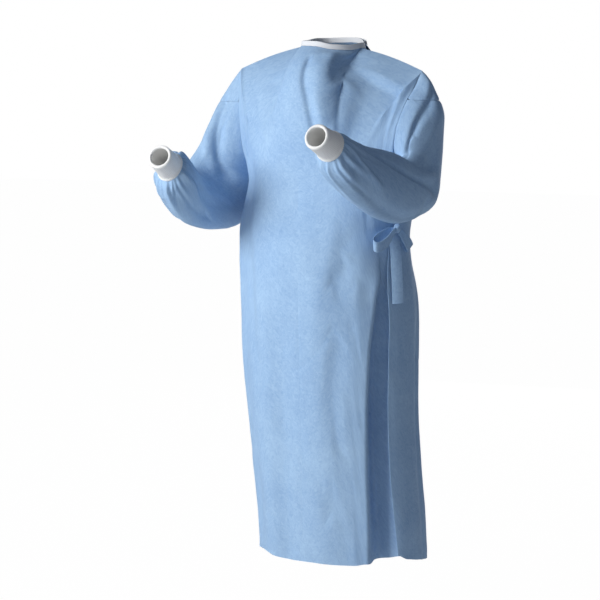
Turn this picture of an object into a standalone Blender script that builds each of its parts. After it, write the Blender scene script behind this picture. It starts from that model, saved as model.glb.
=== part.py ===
import math

import bmesh
import bpy
import numpy as np

# Metres. +X is the wearer's left, -Y the front, +Z up. The origin is between the shoulders, level with the neck edge.
WALL = 0.0012
SEAM_GAP = 0.0005
UNDER_LAYER_END = 189
SHOULDER_GAP = 0.0004
LAP = 0.0031
NECK_LAP = 0.0075
CHEST_Z = -0.32
HEM_Z = -1.194
TIE_WIDTH = 0.025
TIE_WALL = 0.0012

# Level outline of the gown: height, how far it reaches from the middle each way, and how round it is (a lower power
# is squarer).
RINGS = {
    "z": (-0.32, -0.38, -0.44, -0.50, -0.56, -0.66, -0.80, -0.97, -1.10, -1.19),
    "right": (0.205, 0.222, 0.234, 0.237, 0.235, 0.230, 0.224, 0.215, 0.199, 0.191),
    "left": (0.197, 0.188, 0.181, 0.187, 0.196, 0.203, 0.203, 0.210, 0.220, 0.226),
    "front": (0.158, 0.160, 0.160, 0.160, 0.159, 0.155, 0.151, 0.145, 0.138, 0.135),
    "back": (0.122, 0.119, 0.118, 0.121, 0.126, 0.130, 0.132, 0.137, 0.144, 0.148),
    "power": (0.78, 0.83, 0.88, 0.92, 0.93, 0.93, 0.93, 0.93, 0.93, 0.93),
}

# Edge of the armhole on the wearer's left, from the underarm up the front, over the shoulder and down the back.
ARMHOLE = {
    "out": (0.201, 0.2045, 0.203, 0.206, 0.213, 0.221, 0.2275, 0.222, 0.212, 0.203, 0.200, 0.200),
    "fore": (0.006, 0.052, 0.084, 0.079, 0.053, 0.024, 0.000, -0.030, -0.058, -0.074, -0.066, -0.034),
    "z": (-0.300, -0.288, -0.245, -0.192, -0.142, -0.104, -0.070, -0.104, -0.150, -0.205, -0.260, -0.292),
}
RIGHT_SHOULDER = {"out": 0.010, "fore": 0.034, "rise": 0.014}
# Where each column of a panel starts: turn from the panel's middle and way along its top edge.
COLUMN_STARTS = {"turn": (0, 24, 42, 66, 80, 90), "way": (3, 2, 1, 0.36, 0.14, 0)}

# Neck edge from the left end of the shoulder seam: turn about the neck from the front, then reach and height.
NECK = {
    "turn": (-90, -60, -30, 0, 30, 60, 90, 120, 150, 180, 210, 240, 270),
    "z": (-0.006, -0.009, -0.011, -0.014, -0.021, -0.022, -0.016, -0.013, -0.003, 0.001, 0.001, 0.000, -0.006),
}
NECK_WIDE = {"left": 0.069, "right": 0.078}
NECK_FRONT = 0.080
NECK_BACK = 0.066

# Hem: turn about the gown and height, on the front panel and on the wrap-over.
FRONT_HEM = {
    "turn": (-88, -70, -58, -46, -34, -24, -12, 0, 10, 24, 45, 58, 64, 70, 78, 83, 88),
    "z": (-1.210, -1.2095, -1.2055, -1.200, -1.198, -1.2014, -1.2034, -1.1993, -1.1968, -1.196, -1.1938, -1.190,
          -1.191, -1.187, -1.179, -1.186, -1.1905),
}
WRAP_HEM = {
    "turn": (66, 68, 70.5, 74, 79, 85, 92, 99, 105, 117, 130, 150, 180, 215, 255, 272),
    "z": (-1.171, -1.1725, -1.177, -1.182, -1.185, -1.189, -1.1935, -1.199, -1.203, -1.210, -1.210, -1.204, -1.198,
          -1.197, -1.208, -1.210),
}

# Columns of the front panel from its middle to the left side seam: turn at the chest, turn at the hem, and the share
# of the valley's depth.
FRONT_LEFT = {
    "chest": (4, 8, 12, 16, 20, 24, 29, 34, 39, 44, 49, 54, 58, 60.5, 62, 63, 64, 66, 69, 73, 78, 83, 88),
    "hem": (3, 6, 9.5, 13, 16, 19.5, 23, 27, 30, 33, 35.5, 37.5, 39, 40, 41, 42.5, 46, 52, 59, 66, 74, 81, 88),
    "share": (0, 0, 0, 0, 0, 0, 0, 0, 0, 0, 0, 0, 0.0, 0.10, 0.36, 0.68, 0.93, 1.0, 0.86, 0.58, 0.27, 0.07, 0),
}
VALLEY = {
    "z": (-0.46, -0.52, -0.58, -0.70, -0.90, -1.05, -1.19),
    "depth": (0.000, 0.008, 0.026, 0.042, 0.052, 0.055, 0.052),
    "ease": (0.0, 0.0, 0.25, 0.62, 0.80, 0.90, 1.0),
}

# Free edge of the wrap-over panel: turn about the gown and height.
WRAP_EDGE = {
    "turn": (66, 67.5, 70, 74, 80, 88, 98, 110, 124, 138, 150, 160, 168),
    "z": (-0.565, -0.528, -0.490, -0.448, -0.412, -0.386, -0.360, -0.328, -0.280, -0.216, -0.148, -0.078, 0.004),
}
WRAP_FALL = {
    "z": (-0.44, -0.565, -0.72, -0.97, -1.19),
    "turn": (0, 0, -1.5, -2.5, 0.5),
}

# Folds: turn about the gown, where the fold starts and ends, its half width in degrees, its depth (a ridge is
# negative) and how far it leans for each metre down.
FRONT_FOLDS = (
    ("turn", "top", "foot", "half", "depth", "lean"),
    (-9, -0.05, -0.24, 5, 0.0050, 6),
    (-24, -0.09, -0.30, 7, -0.0040, 0),
    (-47, -0.20, -0.72, 9, 0.0110, 14),
    (-66, -0.34, -0.95, 9, -0.0070, 0),
    (-80, -0.50, -1.25, 8, 0.0060, 8),
    (-28, -0.52, -1.25, 12, -0.0060, 0),
    (-12, -0.60, -1.25, 9, 0.0050, 0),
    (23, -0.04, -0.30, 8, 0.0070, 10),
    (35, -0.08, -0.28, 7, -0.0050, 8),
    (12, -0.48, -1.25, 11, -0.0050, 0),
    (38, -0.40, -0.62, 9, 0.0080, -60),
)
BACK_FOLDS = (
    ("turn", "top", "foot", "half", "depth", "lean"),
    (107, -0.60, -1.25, 7, 0.0060, 0),
    (119, -0.48, -1.25, 8, -0.0080, 2),
    (131, -0.40, -1.00, 9, 0.0100, -8),
    (150, -0.30, -1.25, 10, -0.0060, 0),
    (172, -0.40, -1.25, 10, 0.0090, 6),
    (196, -0.24, -1.25, 11, -0.0070, 0),
    (219, -0.38, -1.25, 10, 0.0100, -6),
    (243, -0.50, -1.25, 9, -0.0060, 4),
)

# Sections of an arm in its own upright plane: how far forward and how high the point on the inside of the bend and
# the one on the outside of it are, then how far the cloth reaches from the middle to each side of that plane.
ARM_LEFT = {
    "fore_in": (0.094, 0.098, 0.103, 0.107, 0.112, 0.128, 0.150, 0.196, 0.243, 0.290, 0.316, 0.331),
    "z_in": (-0.236, -0.242, -0.248, -0.252, -0.255, -0.253, -0.248, -0.2395, -0.2330, -0.2170, -0.2055, -0.2030),
    "fore_out": (-0.058, -0.048, -0.030, -0.006, 0.030, 0.085, 0.135, 0.205, 0.278, 0.325, 0.343, 0.351),
    "z_out": (-0.246, -0.298, -0.343, -0.370, -0.387, -0.401, -0.403, -0.384, -0.346, -0.310, -0.287, -0.261),
    "side_in": (0.205, 0.206, 0.206, 0.206, 0.205, 0.199, 0.192, 0.179, 0.170, 0.162, 0.157, 0.1665),
    "side_out": (0.274, 0.276, 0.282, 0.285, 0.285, 0.282, 0.278, 0.270, 0.260, 0.248, 0.236, 0.2275),
    "near_drop": (0.066, 0.042, 0.022, 0.009, 0, 0, 0, 0, 0, 0, 0, 0),
}
ARM_RIGHT = {
    "fore_in": (0.140, 0.147, 0.156, 0.166, 0.176, 0.188, 0.202, 0.230, 0.262, 0.298, 0.322, 0.335),
    "z_in": (-0.245, -0.256, -0.268, -0.281, -0.291, -0.298, -0.300, -0.292, -0.275, -0.257, -0.247, -0.254),
    "fore_out": (-0.050, -0.052, -0.044, -0.020, 0.028, 0.094, 0.163, 0.235, 0.290, 0.333, 0.356, 0.361),
    "z_out": (-0.256, -0.340, -0.398, -0.434, -0.444, -0.442, -0.433, -0.417, -0.389, -0.359, -0.334, -0.310),
    "side_in": (0.213, 0.227, 0.239, 0.244, 0.240, 0.230, 0.216, 0.196, 0.182, 0.174, 0.176, 0.184),
    "side_out": (0.337, 0.345, 0.349, 0.350, 0.349, 0.345, 0.333, 0.314, 0.297, 0.279, 0.262, 0.246),
    "near_drop": (0.062, 0.042, 0.022, 0.008, 0, 0, 0, 0, 0, 0, 0, 0),
}
# How far a sleeve head swells out and up beyond a straight line from the armhole.
SHOULDER_BULGE = {"left": (0.022, 0.022), "right": (0.016, 0.009)}
SLEEVE_AROUND = 28
CAP_SEAM_Z = -0.135
CAP_RINGS = 4

# Knit cuff sections along its axis from the sleeve: way along it and radius outside.
CUFF = {
    "way": (0.0, 0.10, 0.22, 0.45, 0.75, 1.0),
    "radius": (0.0318, 0.0306, 0.0298, 0.0288, 0.0278, 0.0270),
}
CUFF_WALL = 0.0024
CUFF_GAP = 0.0017
CUFF_MOUTH = {"left": (0.202, -0.400, -0.212), "right": (-0.202, -0.400, -0.258)}

# Binding that stands on the neck edge.
BINDING_WALL = 0.0024
BINDING_SEAT = 0.0012
BINDING_RISE = 0.0120
BINDING_LEAN = 0.0030

# Bow at the left waist: where its knot sits, and half the knot's size along the edge, outwards and up.
KNOT_TURN = 78.0
KNOT_Z = -0.419
KNOT_AWAY = 0.0089
KNOT_SIZE = (0.0095, 0.0080, 0.0105)
LOOP_FRONT = {
    "along": -1.0, "up": -0.20, "droop": -0.005,
    "reach": (0.0101, 0.022, 0.040, 0.060, 0.075, 0.0800, 0.075, 0.060, 0.040, 0.020),
    "away": (0.0110, 0.0165, 0.0215, 0.0225, 0.0190, 0.0125, 0.0070, 0.0050, 0.0046, 0.0046),
    "half": (0.0060, 0.0085, 0.0110, 0.0110, 0.0110, 0.0110, 0.0110, 0.0110, 0.0100, 0.0075),
}
LOOP_BACK = {
    "along": 0.78, "up": -0.78, "droop": -0.002,
    "reach": (0.0112, 0.021, 0.033, 0.047, 0.056, 0.0595, 0.056, 0.047, 0.033, 0.021),
    "away": (0.0110, 0.0165, 0.0215, 0.0230, 0.0200, 0.0145, 0.0095, 0.0075, 0.0070, 0.0062),
    "half": (0.0060, 0.0085, 0.0110, 0.0110, 0.0110, 0.0110, 0.0110, 0.0110, 0.0100, 0.0075),
}
TAIL_LONG = {
    "turn": (77.6, 77.2, 76.2, 75.0, 74.0, 73.3, 72.8),
    "z": (-0.4306, -0.446, -0.470, -0.500, -0.532, -0.562, -0.590),
    "away": (0.0028, 0.0029, 0.0029, 0.0030, 0.0028, 0.0014, 0.0012),
}
TAIL_SHORT = {
    "turn": (81.8, 82.0, 81.8, 81.4, 81.0),
    "z": (-0.4306, -0.450, -0.474, -0.499, -0.522),
    "away": (0.0011, 0.0011, 0.0011, 0.0011, 0.0011),
}

# sRGB colours of the cloth as it lies in soft light.
BLUE = (0.560, 0.690, 0.850)
WHITE = (0.870, 0.875, 0.880)


def smooth(xs, ys, x):
    """Value at x of the smooth curve through the points, which never overshoots them."""
    xs = np.asarray(xs, float)
    ys = np.asarray(ys, float)
    if xs[0] > xs[-1]:
        xs, ys = xs[::-1], ys[::-1]
    step = np.diff(xs)
    slope = np.diff(ys) / step
    tangent = np.zeros(len(xs))
    for i in range(1, len(xs) - 1):
        if slope[i - 1] * slope[i] > 0:
            a = 2 * step[i] + step[i - 1]
            b = step[i] + 2 * step[i - 1]
            tangent[i] = (a + b) / (a / slope[i - 1] + b / slope[i])
    tangent[0] = slope[0]
    tangent[-1] = slope[-1]
    x = min(max(float(x), xs[0]), xs[-1])
    i = min(int(np.searchsorted(xs, x, side="right")) - 1, len(xs) - 2)
    t = (x - xs[i]) / step[i]
    h00 = 2 * t ** 3 - 3 * t ** 2 + 1
    h10 = t ** 3 - 2 * t ** 2 + t
    h01 = 3 * t ** 2 - 2 * t ** 3
    h11 = t ** 3 - t ** 2
    return float(h00 * ys[i] + h10 * step[i] * tangent[i] + h01 * ys[i + 1] + h11 * step[i] * tangent[i + 1])


def curve(points, t, closed=False):
    """Point at share t of a flowing curve through the points."""
    points = np.asarray(points, float)
    n = len(points)
    spans = n if closed else n - 1
    x = (t % 1.0 if closed else min(max(t, 0.0), 1.0)) * spans
    i = min(int(x), spans - 1)
    f = x - i
    if closed:
        p0, p1, p2, p3 = (points[(i + k) % n] for k in (-1, 0, 1, 2))
    else:
        p1, p2 = points[i], points[i + 1]
        p0 = points[i - 1] if i > 0 else 2 * p1 - p2
        p3 = points[i + 2] if i + 2 < n else 2 * p2 - p1
    return 0.5 * (2 * p1 + (p2 - p0) * f + (2 * p0 - 5 * p1 + 4 * p2 - p3) * f * f
                  + (3 * p1 - p0 - 3 * p2 + p3) * f ** 3)


def unit(v):
    v = np.asarray(v, float)
    return v / max(np.linalg.norm(v), 1e-12)


def ease(t):
    t = min(max(t, 0.0), 1.0)
    return t * t * (3 - 2 * t)


def ring_point(turn, z):
    """Point on the plain gown at a turn from the front and a height below the chest."""
    a = math.radians(turn)
    s, c = math.sin(a), math.cos(a)
    across = smooth(RINGS["z"], RINGS["left" if s > 0 else "right"], z)
    deep = smooth(RINGS["z"], RINGS["front" if c > 0 else "back"], z)
    power = smooth(RINGS["z"], RINGS["power"], z)
    x = across * math.copysign(abs(s) ** power, s)
    y = -deep * math.copysign(abs(c) ** power, c)
    return np.array([x, y, z])


def armhole_point(side, t):
    """Point on an armhole: share 0 at the underarm, up the front, 0.5 at the shoulder, down the back."""
    rows = np.column_stack([ARMHOLE["out"], -np.array(ARMHOLE["fore"]), ARMHOLE["z"]])
    p = curve(rows, t, closed=True)
    if side == "right":
        high = ease((p[2] + 0.26) / 0.19)
        p[0] = -p[0] - RIGHT_SHOULDER["out"] * high
        p[1] -= RIGHT_SHOULDER["fore"] * high
        p[2] += RIGHT_SHOULDER["rise"] * high
    return p


def neck_point(turn):
    a = math.radians(turn)
    deep = NECK_FRONT if math.cos(a) > 0 else NECK_BACK
    z = smooth(NECK["turn"], NECK["z"], turn if turn <= 270 else turn - 360)
    wide = NECK_WIDE["left" if math.sin(a) > 0 else "right"]
    return np.array([wide * math.sin(a), -deep * math.cos(a), z])


def top_edge(side, way, face):
    """Top of a panel's column, and how much the cloth rounds over the shoulder before it falls.

    Way runs 0 to 1 up the armhole, 1 to 2 along the shoulder and 2 to 3 along the neck."""
    sign = 1 if side == "left" else -1
    front = face == "front"
    if way <= 1:
        p = armhole_point(side, 0.5 * way if front else 1 - 0.5 * way)
    elif way <= 2:
        tip = armhole_point(side, 0.5)
        neck = neck_point(90 * sign if sign > 0 else 270)
        p = tip + (neck - tip) * (way - 1)
        p[2] += 0.005 * math.sin(math.pi * (way - 1))
    else:
        turn = 90 - 90 * (way - 2) if front else 90 + 90 * (way - 2)
        p = neck_point(turn * sign if front or sign > 0 else 360 - turn)
    round_over = smooth((0, 0.36, 1, 2, 3), (0.02, 0.12, 0.62, 0.90, 0.92), way)
    inward = smooth((0, 0.36, 1, 2, 3), (0.10, 0.45, 0.55, 0.05, 0.0), way)
    return p, (np.array([-sign * inward, -1.0 if front else 1.0, -0.50]), round_over)


def fold_depth(rows, turn, z):
    depth = 0.0
    for row in rows[1:]:
        f = dict(zip(rows[0], row))
        if not f["foot"] < z < f["top"]:
            continue
        centre = f["turn"] + f["lean"] * (f["top"] - z)
        near = (turn - centre) / f["half"]
        if abs(near) >= 2:
            continue
        length = f["top"] - f["foot"]
        start = ease((f["top"] - z) / min(0.12, 0.4 * length))
        stop = 1.0 if f["foot"] < HEM_Z else ease((z - f["foot"]) / min(0.16, 0.5 * length))
        depth += f["depth"] * start * stop * (0.5 + 0.5 * math.cos(math.pi * near / 2)) ** 2
    return depth


def normals(grid):
    """Outward direction at each point of a grid whose rows run down and whose columns run towards the left."""
    down = np.gradient(grid, axis=0)
    along = np.gradient(grid, axis=1)
    n = np.cross(down, along)
    n = n / np.maximum(np.linalg.norm(n, axis=2, keepdims=True), 1e-12)
    return n


def panel_normals(grid):
    """Outward directions of a panel, straight up across the shoulder seam so both its sides meet squarely."""
    n = normals(grid)
    for j in range(grid.shape[1]):
        past_neck = grid[0, j, 0] < -NECK_WIDE["right"] - 0.001 or grid[0, j, 0] > NECK_WIDE["left"] + 0.001
        if n[0, j, 2] > 0.5 and past_neck:
            n[0, j] = unit(n[0, j] * np.array([1, 0.1, 1]))
    return n


def upper(start, heading, end, t):
    """Cloth from a top edge point over the chest or back to the level ring under the arms."""
    over, share = heading
    reach = np.linalg.norm(end - start)
    heading = unit(unit(end - start) * (1 - share) + unit(over) * share)
    a = start + heading * reach * 0.42
    b = end + np.array([0, 0, 1.0]) * reach * 0.40
    s = 1 - t
    return s ** 3 * start + 3 * s * s * t * a + 3 * s * t * t * b + t ** 3 * end


UPPER_ROWS = (0.0, 0.045, 0.11, 0.19, 0.28, 0.38, 0.49, 0.62, 0.80, 1.0)
LOWER_ROWS = (-0.36, -0.40, -0.44, -0.48, -0.52, -0.56, -0.61, -0.67, -0.74, -0.82, -0.91, -1.01, -1.10, -1.19)


def way_of(turn):
    """How far along a panel's top edge the column with this turn from the panel's middle starts."""
    return smooth(COLUMN_STARTS["turn"], COLUMN_STARTS["way"], turn)


def column(start, heading, turn_at, hem):
    end = ring_point(turn_at(CHEST_Z), CHEST_Z)
    rows = [(upper(start, heading, end, t), turn_at(CHEST_Z)) for t in UPPER_ROWS]
    for z in LOWER_ROWS[:-1] + (hem,):
        rows.append((ring_point(turn_at(z), z), turn_at(z)))
    return rows


def folded(columns, folds, valley=None):
    """Grid of a panel from its columns, with the folds pressed in along the cloth's own direction."""
    grid = np.array([[p for p, _ in c] for c in columns]).transpose(1, 0, 2)
    turns = np.array([[t for _, t in c] for c in columns]).T
    n = normals(grid)
    out = grid.copy()
    for i in range(grid.shape[0]):
        for j in range(grid.shape[1]):
            depth = fold_depth(folds, turns[i, j], grid[i, j, 2])
            out[i, j] = grid[i, j] - n[i, j] * depth
            if valley is not None and valley[j] > 0:
                deep = smooth(VALLEY["z"], VALLEY["depth"], grid[i, j, 2]) * valley[j]
                flat = unit(np.array([n[i, j, 0], n[i, j, 1], 0.0]))
                out[i, j] = out[i, j] - flat * deep
    return out


FRONT_RIGHT = (-82, -76, -70, -64, -58, -52, -46, -40, -34, -29, -24, -20, -16, -12, -8, -4, 0)


def front_turns():
    edge = math.degrees(SEAM_GAP / 0.19)
    return [-88 + edge, *FRONT_RIGHT, *FRONT_LEFT["chest"][:-1], 88 - edge]


def front_grid():
    columns = []
    shares = []
    edge = math.degrees(SEAM_GAP / 0.19)
    for turn in [-88 + edge, *FRONT_RIGHT]:
        start, heading = top_edge("right", way_of(abs(turn)), "front")
        hem = smooth(FRONT_HEM["turn"], FRONT_HEM["z"], turn)
        columns.append(column(start, heading, lambda z, turn=turn: turn, hem))
        shares.append(0.0)
    for chest, hem, share in zip(FRONT_LEFT["chest"], FRONT_LEFT["hem"], FRONT_LEFT["share"]):
        if chest == 88:
            chest = hem = 88 - edge
        start, heading = top_edge("left", way_of(chest), "front")

        def turn_at(z, chest=chest, hem=hem):
            return chest + (hem - chest) * smooth(VALLEY["z"], VALLEY["ease"], z)

        columns.append(column(start, heading, turn_at, smooth(FRONT_HEM["turn"], FRONT_HEM["z"], chest)))
        shares.append(share)
    grid = folded(columns, FRONT_FOLDS, shares)
    return clear_of_seams(grid, front=True)


def clear_of_seams(grid, front):
    """Moves the shoulder rows a hair off the seam line, so the pieces that meet there stay apart."""
    grid[0, :, 1] += -SHOULDER_GAP if front else SHOULDER_GAP
    return grid


def back_left_turns():
    first = 88 + math.degrees(SEAM_GAP / 0.19)
    return [first, 93, 99, 105, 111, 117, 123, 129, 135, 141, 147, 153, 158, 163, 168, 173, 178, 183.5,
            UNDER_LAYER_END]


def back_left_grid():
    columns = []
    for turn in back_left_turns():
        if turn <= 180:
            start, heading = top_edge("left", way_of(180 - turn), "back")
        else:
            start, heading = top_edge("right", way_of(turn - 180), "back")
        columns.append(column(start, heading, lambda z, turn=turn: turn, HEM_Z + 0.012))
    grid = folded(columns, BACK_FOLDS)
    return clear_of_seams(grid, front=False)


def wrap_out(turn, z):
    """How far the wrap-over panel lies out from the plain back. It joins the front panel at the right side."""
    near_neck = ease((z + 0.20) / 0.18)
    lap = LAP + (NECK_LAP - LAP) * near_neck
    joined = 204 + 34 * ease((-0.15 - z) / 0.20)
    return lap * ease((joined - turn) / (joined - UNDER_LAYER_END))


def wrap_turns():
    first = [66, 68, 70.5, 74, 79, 85, 92, 99, 105, 111, 117, 123, 129, 135, 141, 147, 153, 159]
    return first + [163.5, 168, 173, 178, 183.5, 189, 194, 199, 204, 210, 216, 222, 229, 236, 243, 250, 257, 263, 268,
                    272 - math.degrees(SEAM_GAP / 0.21)]


def wrap_grid():
    columns = []
    edge_top = WRAP_EDGE["turn"][-1]
    for turn in wrap_turns():
        if turn < 90:
            start, heading = top_edge("left", way_of(turn), "front")
        elif turn <= 180:
            start, heading = top_edge("left", way_of(180 - turn), "back")
        else:
            start, heading = top_edge("right", way_of(turn - 180), "back")
        fade = ease((110 - turn) / 44)

        def turn_at(z, turn=turn, fade=fade):
            return turn + fade * smooth(WRAP_FALL["z"], WRAP_FALL["turn"], z)

        columns.append(column(start, heading, turn_at, smooth(WRAP_HEM["turn"], WRAP_HEM["z"], turn)))
    grid = folded(columns, BACK_FOLDS)
    n = normals(grid)
    for j, turn in enumerate(wrap_turns()):
        for i in range(grid.shape[0]):
            flat = 1 - ease((grid[i, j, 2] + 0.10) / 0.09)
            grid[i, j] += unit(n[i, j] * np.array([1, 1, flat])) * wrap_out(turn, grid[i, j, 2])
    return cut_top(clear_of_seams(grid, front=False), wrap_turns(), edge_top)


def cut_top(grid, turns, edge_top):
    """Starts each column of the wrap-over at its free edge instead of at the top of the back."""
    rows = grid.shape[0]
    out = np.zeros_like(grid)
    for j, turn in enumerate(turns):
        line = grid[:, j]
        if turn >= edge_top:
            out[:, j] = line
            continue
        top = smooth(WRAP_EDGE["turn"], WRAP_EDGE["z"], turn)
        blend = ease((turn - 120) / (edge_top - 120))
        z = line[:, 2]
        i = int(np.argmax(z < top))
        f = (z[i - 1] - top) / (z[i - 1] - z[i])
        length = np.concatenate([[0], np.cumsum(np.linalg.norm(np.diff(line, axis=0), axis=1))])
        begin = length[i - 1] + f * (length[i] - length[i - 1])
        share = length / length[-1]
        even = np.array([k / (rows - 1) for k in range(rows)])
        even = even + (share - even) * max(blend, 0.35)
        for k in range(rows):
            at = begin + (length[-1] - begin) * even[k]
            m = min(max(int(np.searchsorted(length, at)), 1), rows - 1)
            g = (at - length[m - 1]) / (length[m] - length[m - 1])
            out[k, j] = line[m - 1] + (line[m] - line[m - 1]) * g
    return out


def wall_mesh(grid, wall, wrap=False, n=None):
    """Closed wall about a grid of middle points. A wrapped grid joins its last column to its first."""
    rows, cols = grid.shape[:2]
    if n is None:
        n = ring_normals(grid) if wrap else panel_normals(grid)
    outer = grid + n * wall / 2
    inner = grid - n * wall / 2
    points = np.concatenate([outer.reshape(-1, 3), inner.reshape(-1, 3)])
    half = rows * cols
    faces = []
    last = cols if wrap else cols - 1
    for i in range(rows - 1):
        for j in range(last):
            k = (j + 1) % cols
            a, b, c, d = i * cols + j, (i + 1) * cols + j, (i + 1) * cols + k, i * cols + k
            if np.linalg.norm(points[a] - points[c]) < np.linalg.norm(points[b] - points[d]):
                pairs = ((a, b, c), (a, c, d))
            else:
                pairs = ((a, b, d), (b, c, d))
            for t in pairs:
                faces.append(t)
                faces.append((half + t[2], half + t[1], half + t[0]))
    for j in range(last):
        k = (j + 1) % cols
        faces.append((j, k, half + k, half + j))
        a, b = (rows - 1) * cols + j, (rows - 1) * cols + k
        faces.append((b, a, half + a, half + b))
    if not wrap:
        for i in range(rows - 1):
            a, b = i * cols, (i + 1) * cols
            faces.append((b, a, half + a, half + b))
            a, b = a + cols - 1, b + cols - 1
            faces.append((a, b, half + b, half + a))
    return points, faces


def add_object(name, points, faces, colour, roughness):
    mesh = bpy.data.meshes.new(name)
    mesh.from_pydata([tuple(p) for p in points], [], faces)
    mesh.validate()
    bm = bmesh.new()
    bm.from_mesh(mesh)
    bmesh.ops.recalc_face_normals(bm, faces=bm.faces)
    bmesh.ops.triangulate(bm, faces=[f for f in bm.faces if len(f.verts) > 4])
    bm.to_mesh(mesh)
    bm.free()
    for polygon in mesh.polygons:
        polygon.use_smooth = True
    material = bpy.data.materials.new(name)
    material.use_nodes = True
    shader = material.node_tree.nodes["Principled BSDF"]
    linear = [c / 12.92 if c < 0.04045 else ((c + 0.055) / 1.055) ** 2.4 for c in colour]
    shader.inputs["Base Color"].default_value = (*linear, 1)
    shader.inputs["Roughness"].default_value = roughness
    shader.inputs["Metallic"].default_value = 0.0
    mesh.materials.append(material)
    made = bpy.data.objects.new(name, mesh)
    bpy.context.collection.objects.link(made)
    return made


def arm_rings(side):
    """Rings of a sleeve from the armhole to the cuff. Share 0 of a ring is under the arm, 0.25 in front of it."""
    table = ARM_LEFT if side == "left" else ARM_RIGHT
    sign = 1 if side == "left" else -1
    count = len(table["z_in"])
    start = [armhole_point(side, i / SLEEVE_AROUND) for i in range(SLEEVE_AROUND)]
    rings = []
    body = []
    for k in range(count):
        inside = np.array([0, -table["fore_in"][k], table["z_in"][k]])
        outside = np.array([0, -table["fore_out"][k], table["z_out"][k]])
        centre = (inside + outside) / 2
        long_half = (inside - outside) / 2
        near, far = table["side_in"][k], table["side_out"][k]
        middle = (near + far) / 2
        wide = (far - near) / 2
        ring = []
        for i in range(SLEEVE_AROUND):
            a = 2 * math.pi * i / SLEEVE_AROUND
            along = math.sin(a)
            across = -math.cos(a)
            p = centre + long_half * along
            p[0] = sign * (middle + wide * across)
            p[2] -= table["near_drop"][k] * ((1 - across) / 2) ** 2.5
            ring.append(p)
        body.append(ring)
    start = [p + unit(q - p) * 0.0006 + np.array([sign * 0.0014, 0, 0]) for p, q in zip(start, body[0])]
    rings.append(start)
    steps = (0.22, 0.45, 0.70)
    for w in steps:
        ring = []
        for i in range(SLEEVE_AROUND):
            a = 2 * math.pi * i / SLEEVE_AROUND
            p, q = start[i], body[0][i]
            top = 0.5 - 0.5 * math.cos(a)
            r = p + (q - p) * w
            out, up = SHOULDER_BULGE[side]
            swell = math.sin(math.pi * w) * top ** 1.5
            r = r + np.array([sign * out * swell, 0, up * swell])
            ring.append(r)
        rings.append(ring)
    rings.extend(body)
    return np.array(rings)


def gathered(rings):
    """Small gathers where the sleeve is sewn to the cuff, and soft folds round the bend of the elbow."""
    out = rings.copy()
    count = rings.shape[0]
    n = ring_normals(rings)
    for k in range(count):
        near_cuff = ease((k - (count - 4)) / 3)
        near_bend = math.exp(-((k - 8) / 2.2) ** 2)
        for i in range(SLEEVE_AROUND):
            a = 2 * math.pi * i / SLEEVE_AROUND
            inside = max(0.0, math.sin(a)) ** 2
            wave = 0.0016 * near_cuff * math.cos(14 * a) + 0.0022 * near_bend * math.cos(3 * a + 0.9 * k) * (1 - inside)
            out[k, i] = rings[k, i] + n[k, i] * wave
    return out


def ring_normals(rings):
    wide = np.concatenate([rings[:, -2:], rings, rings[:, :2]], axis=1)
    return normals(wide)[:, 2:-2]


def along_line(line, begin, finish, count):
    """Points evenly spaced along a line of points, between two lengths from its start."""
    length = np.concatenate([[0], np.cumsum(np.linalg.norm(np.diff(line, axis=0), axis=1))])
    points = []
    for k in range(count):
        at = begin + (finish - begin) * k / (count - 1)
        m = min(max(int(np.searchsorted(length, at)), 1), len(line) - 1)
        g = (at - length[m - 1]) / (length[m] - length[m - 1])
        points.append(line[m - 1] + (line[m] - line[m - 1]) * g)
    return np.array(points)


def cap_cuts(rings):
    """How far down each column of a sleeve its cap reaches, for the columns that have one."""
    cuts = {}
    for i in range(SLEEVE_AROUND):
        line = rings[:CAP_RINGS + 1, i]
        if line[0, 2] > CAP_SEAM_Z + 0.004:
            k = int(np.argmax(line[:, 2] < CAP_SEAM_Z))
            f = (line[k - 1, 2] - CAP_SEAM_Z) / (line[k - 1, 2] - line[k, 2])
            steps = np.linalg.norm(np.diff(line, axis=0), axis=1)
            cuts[i] = steps[:k - 1].sum() + f * steps[k - 1]
    ends = (min(cuts) - 1, max(cuts) + 1)
    for i in ends:
        cuts[i] = 0.002
    return cuts


def build_sleeve(side):
    rings = gathered(arm_rings(side))
    cuts = cap_cuts(rings)
    columns = sorted(cuts)
    cap = []
    sleeve = rings.copy()
    for i in columns:
        line = rings[:CAP_RINGS + 1, i]
        whole = np.linalg.norm(np.diff(line, axis=0), axis=1).sum()
        cap.append(along_line(line, 0.0, cuts[i] - SEAM_GAP / 2, 4))
        sleeve[:CAP_RINGS + 1, i] = along_line(line, cuts[i] + SEAM_GAP / 2, whole, CAP_RINGS + 1)
    cap = np.array(cap).transpose(1, 0, 2)
    if side == "left":
        sleeve = sleeve[:, ::-1]
        cap = cap[:, ::-1]
    points, faces = wall_mesh(sleeve, WALL, wrap=True)
    add_object("sleeve_" + side, points, faces, BLUE, 0.62)
    points, faces = wall_mesh(cap, WALL)
    add_object("sleeve_cap_" + side, points, faces, BLUE, 0.62)


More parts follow.
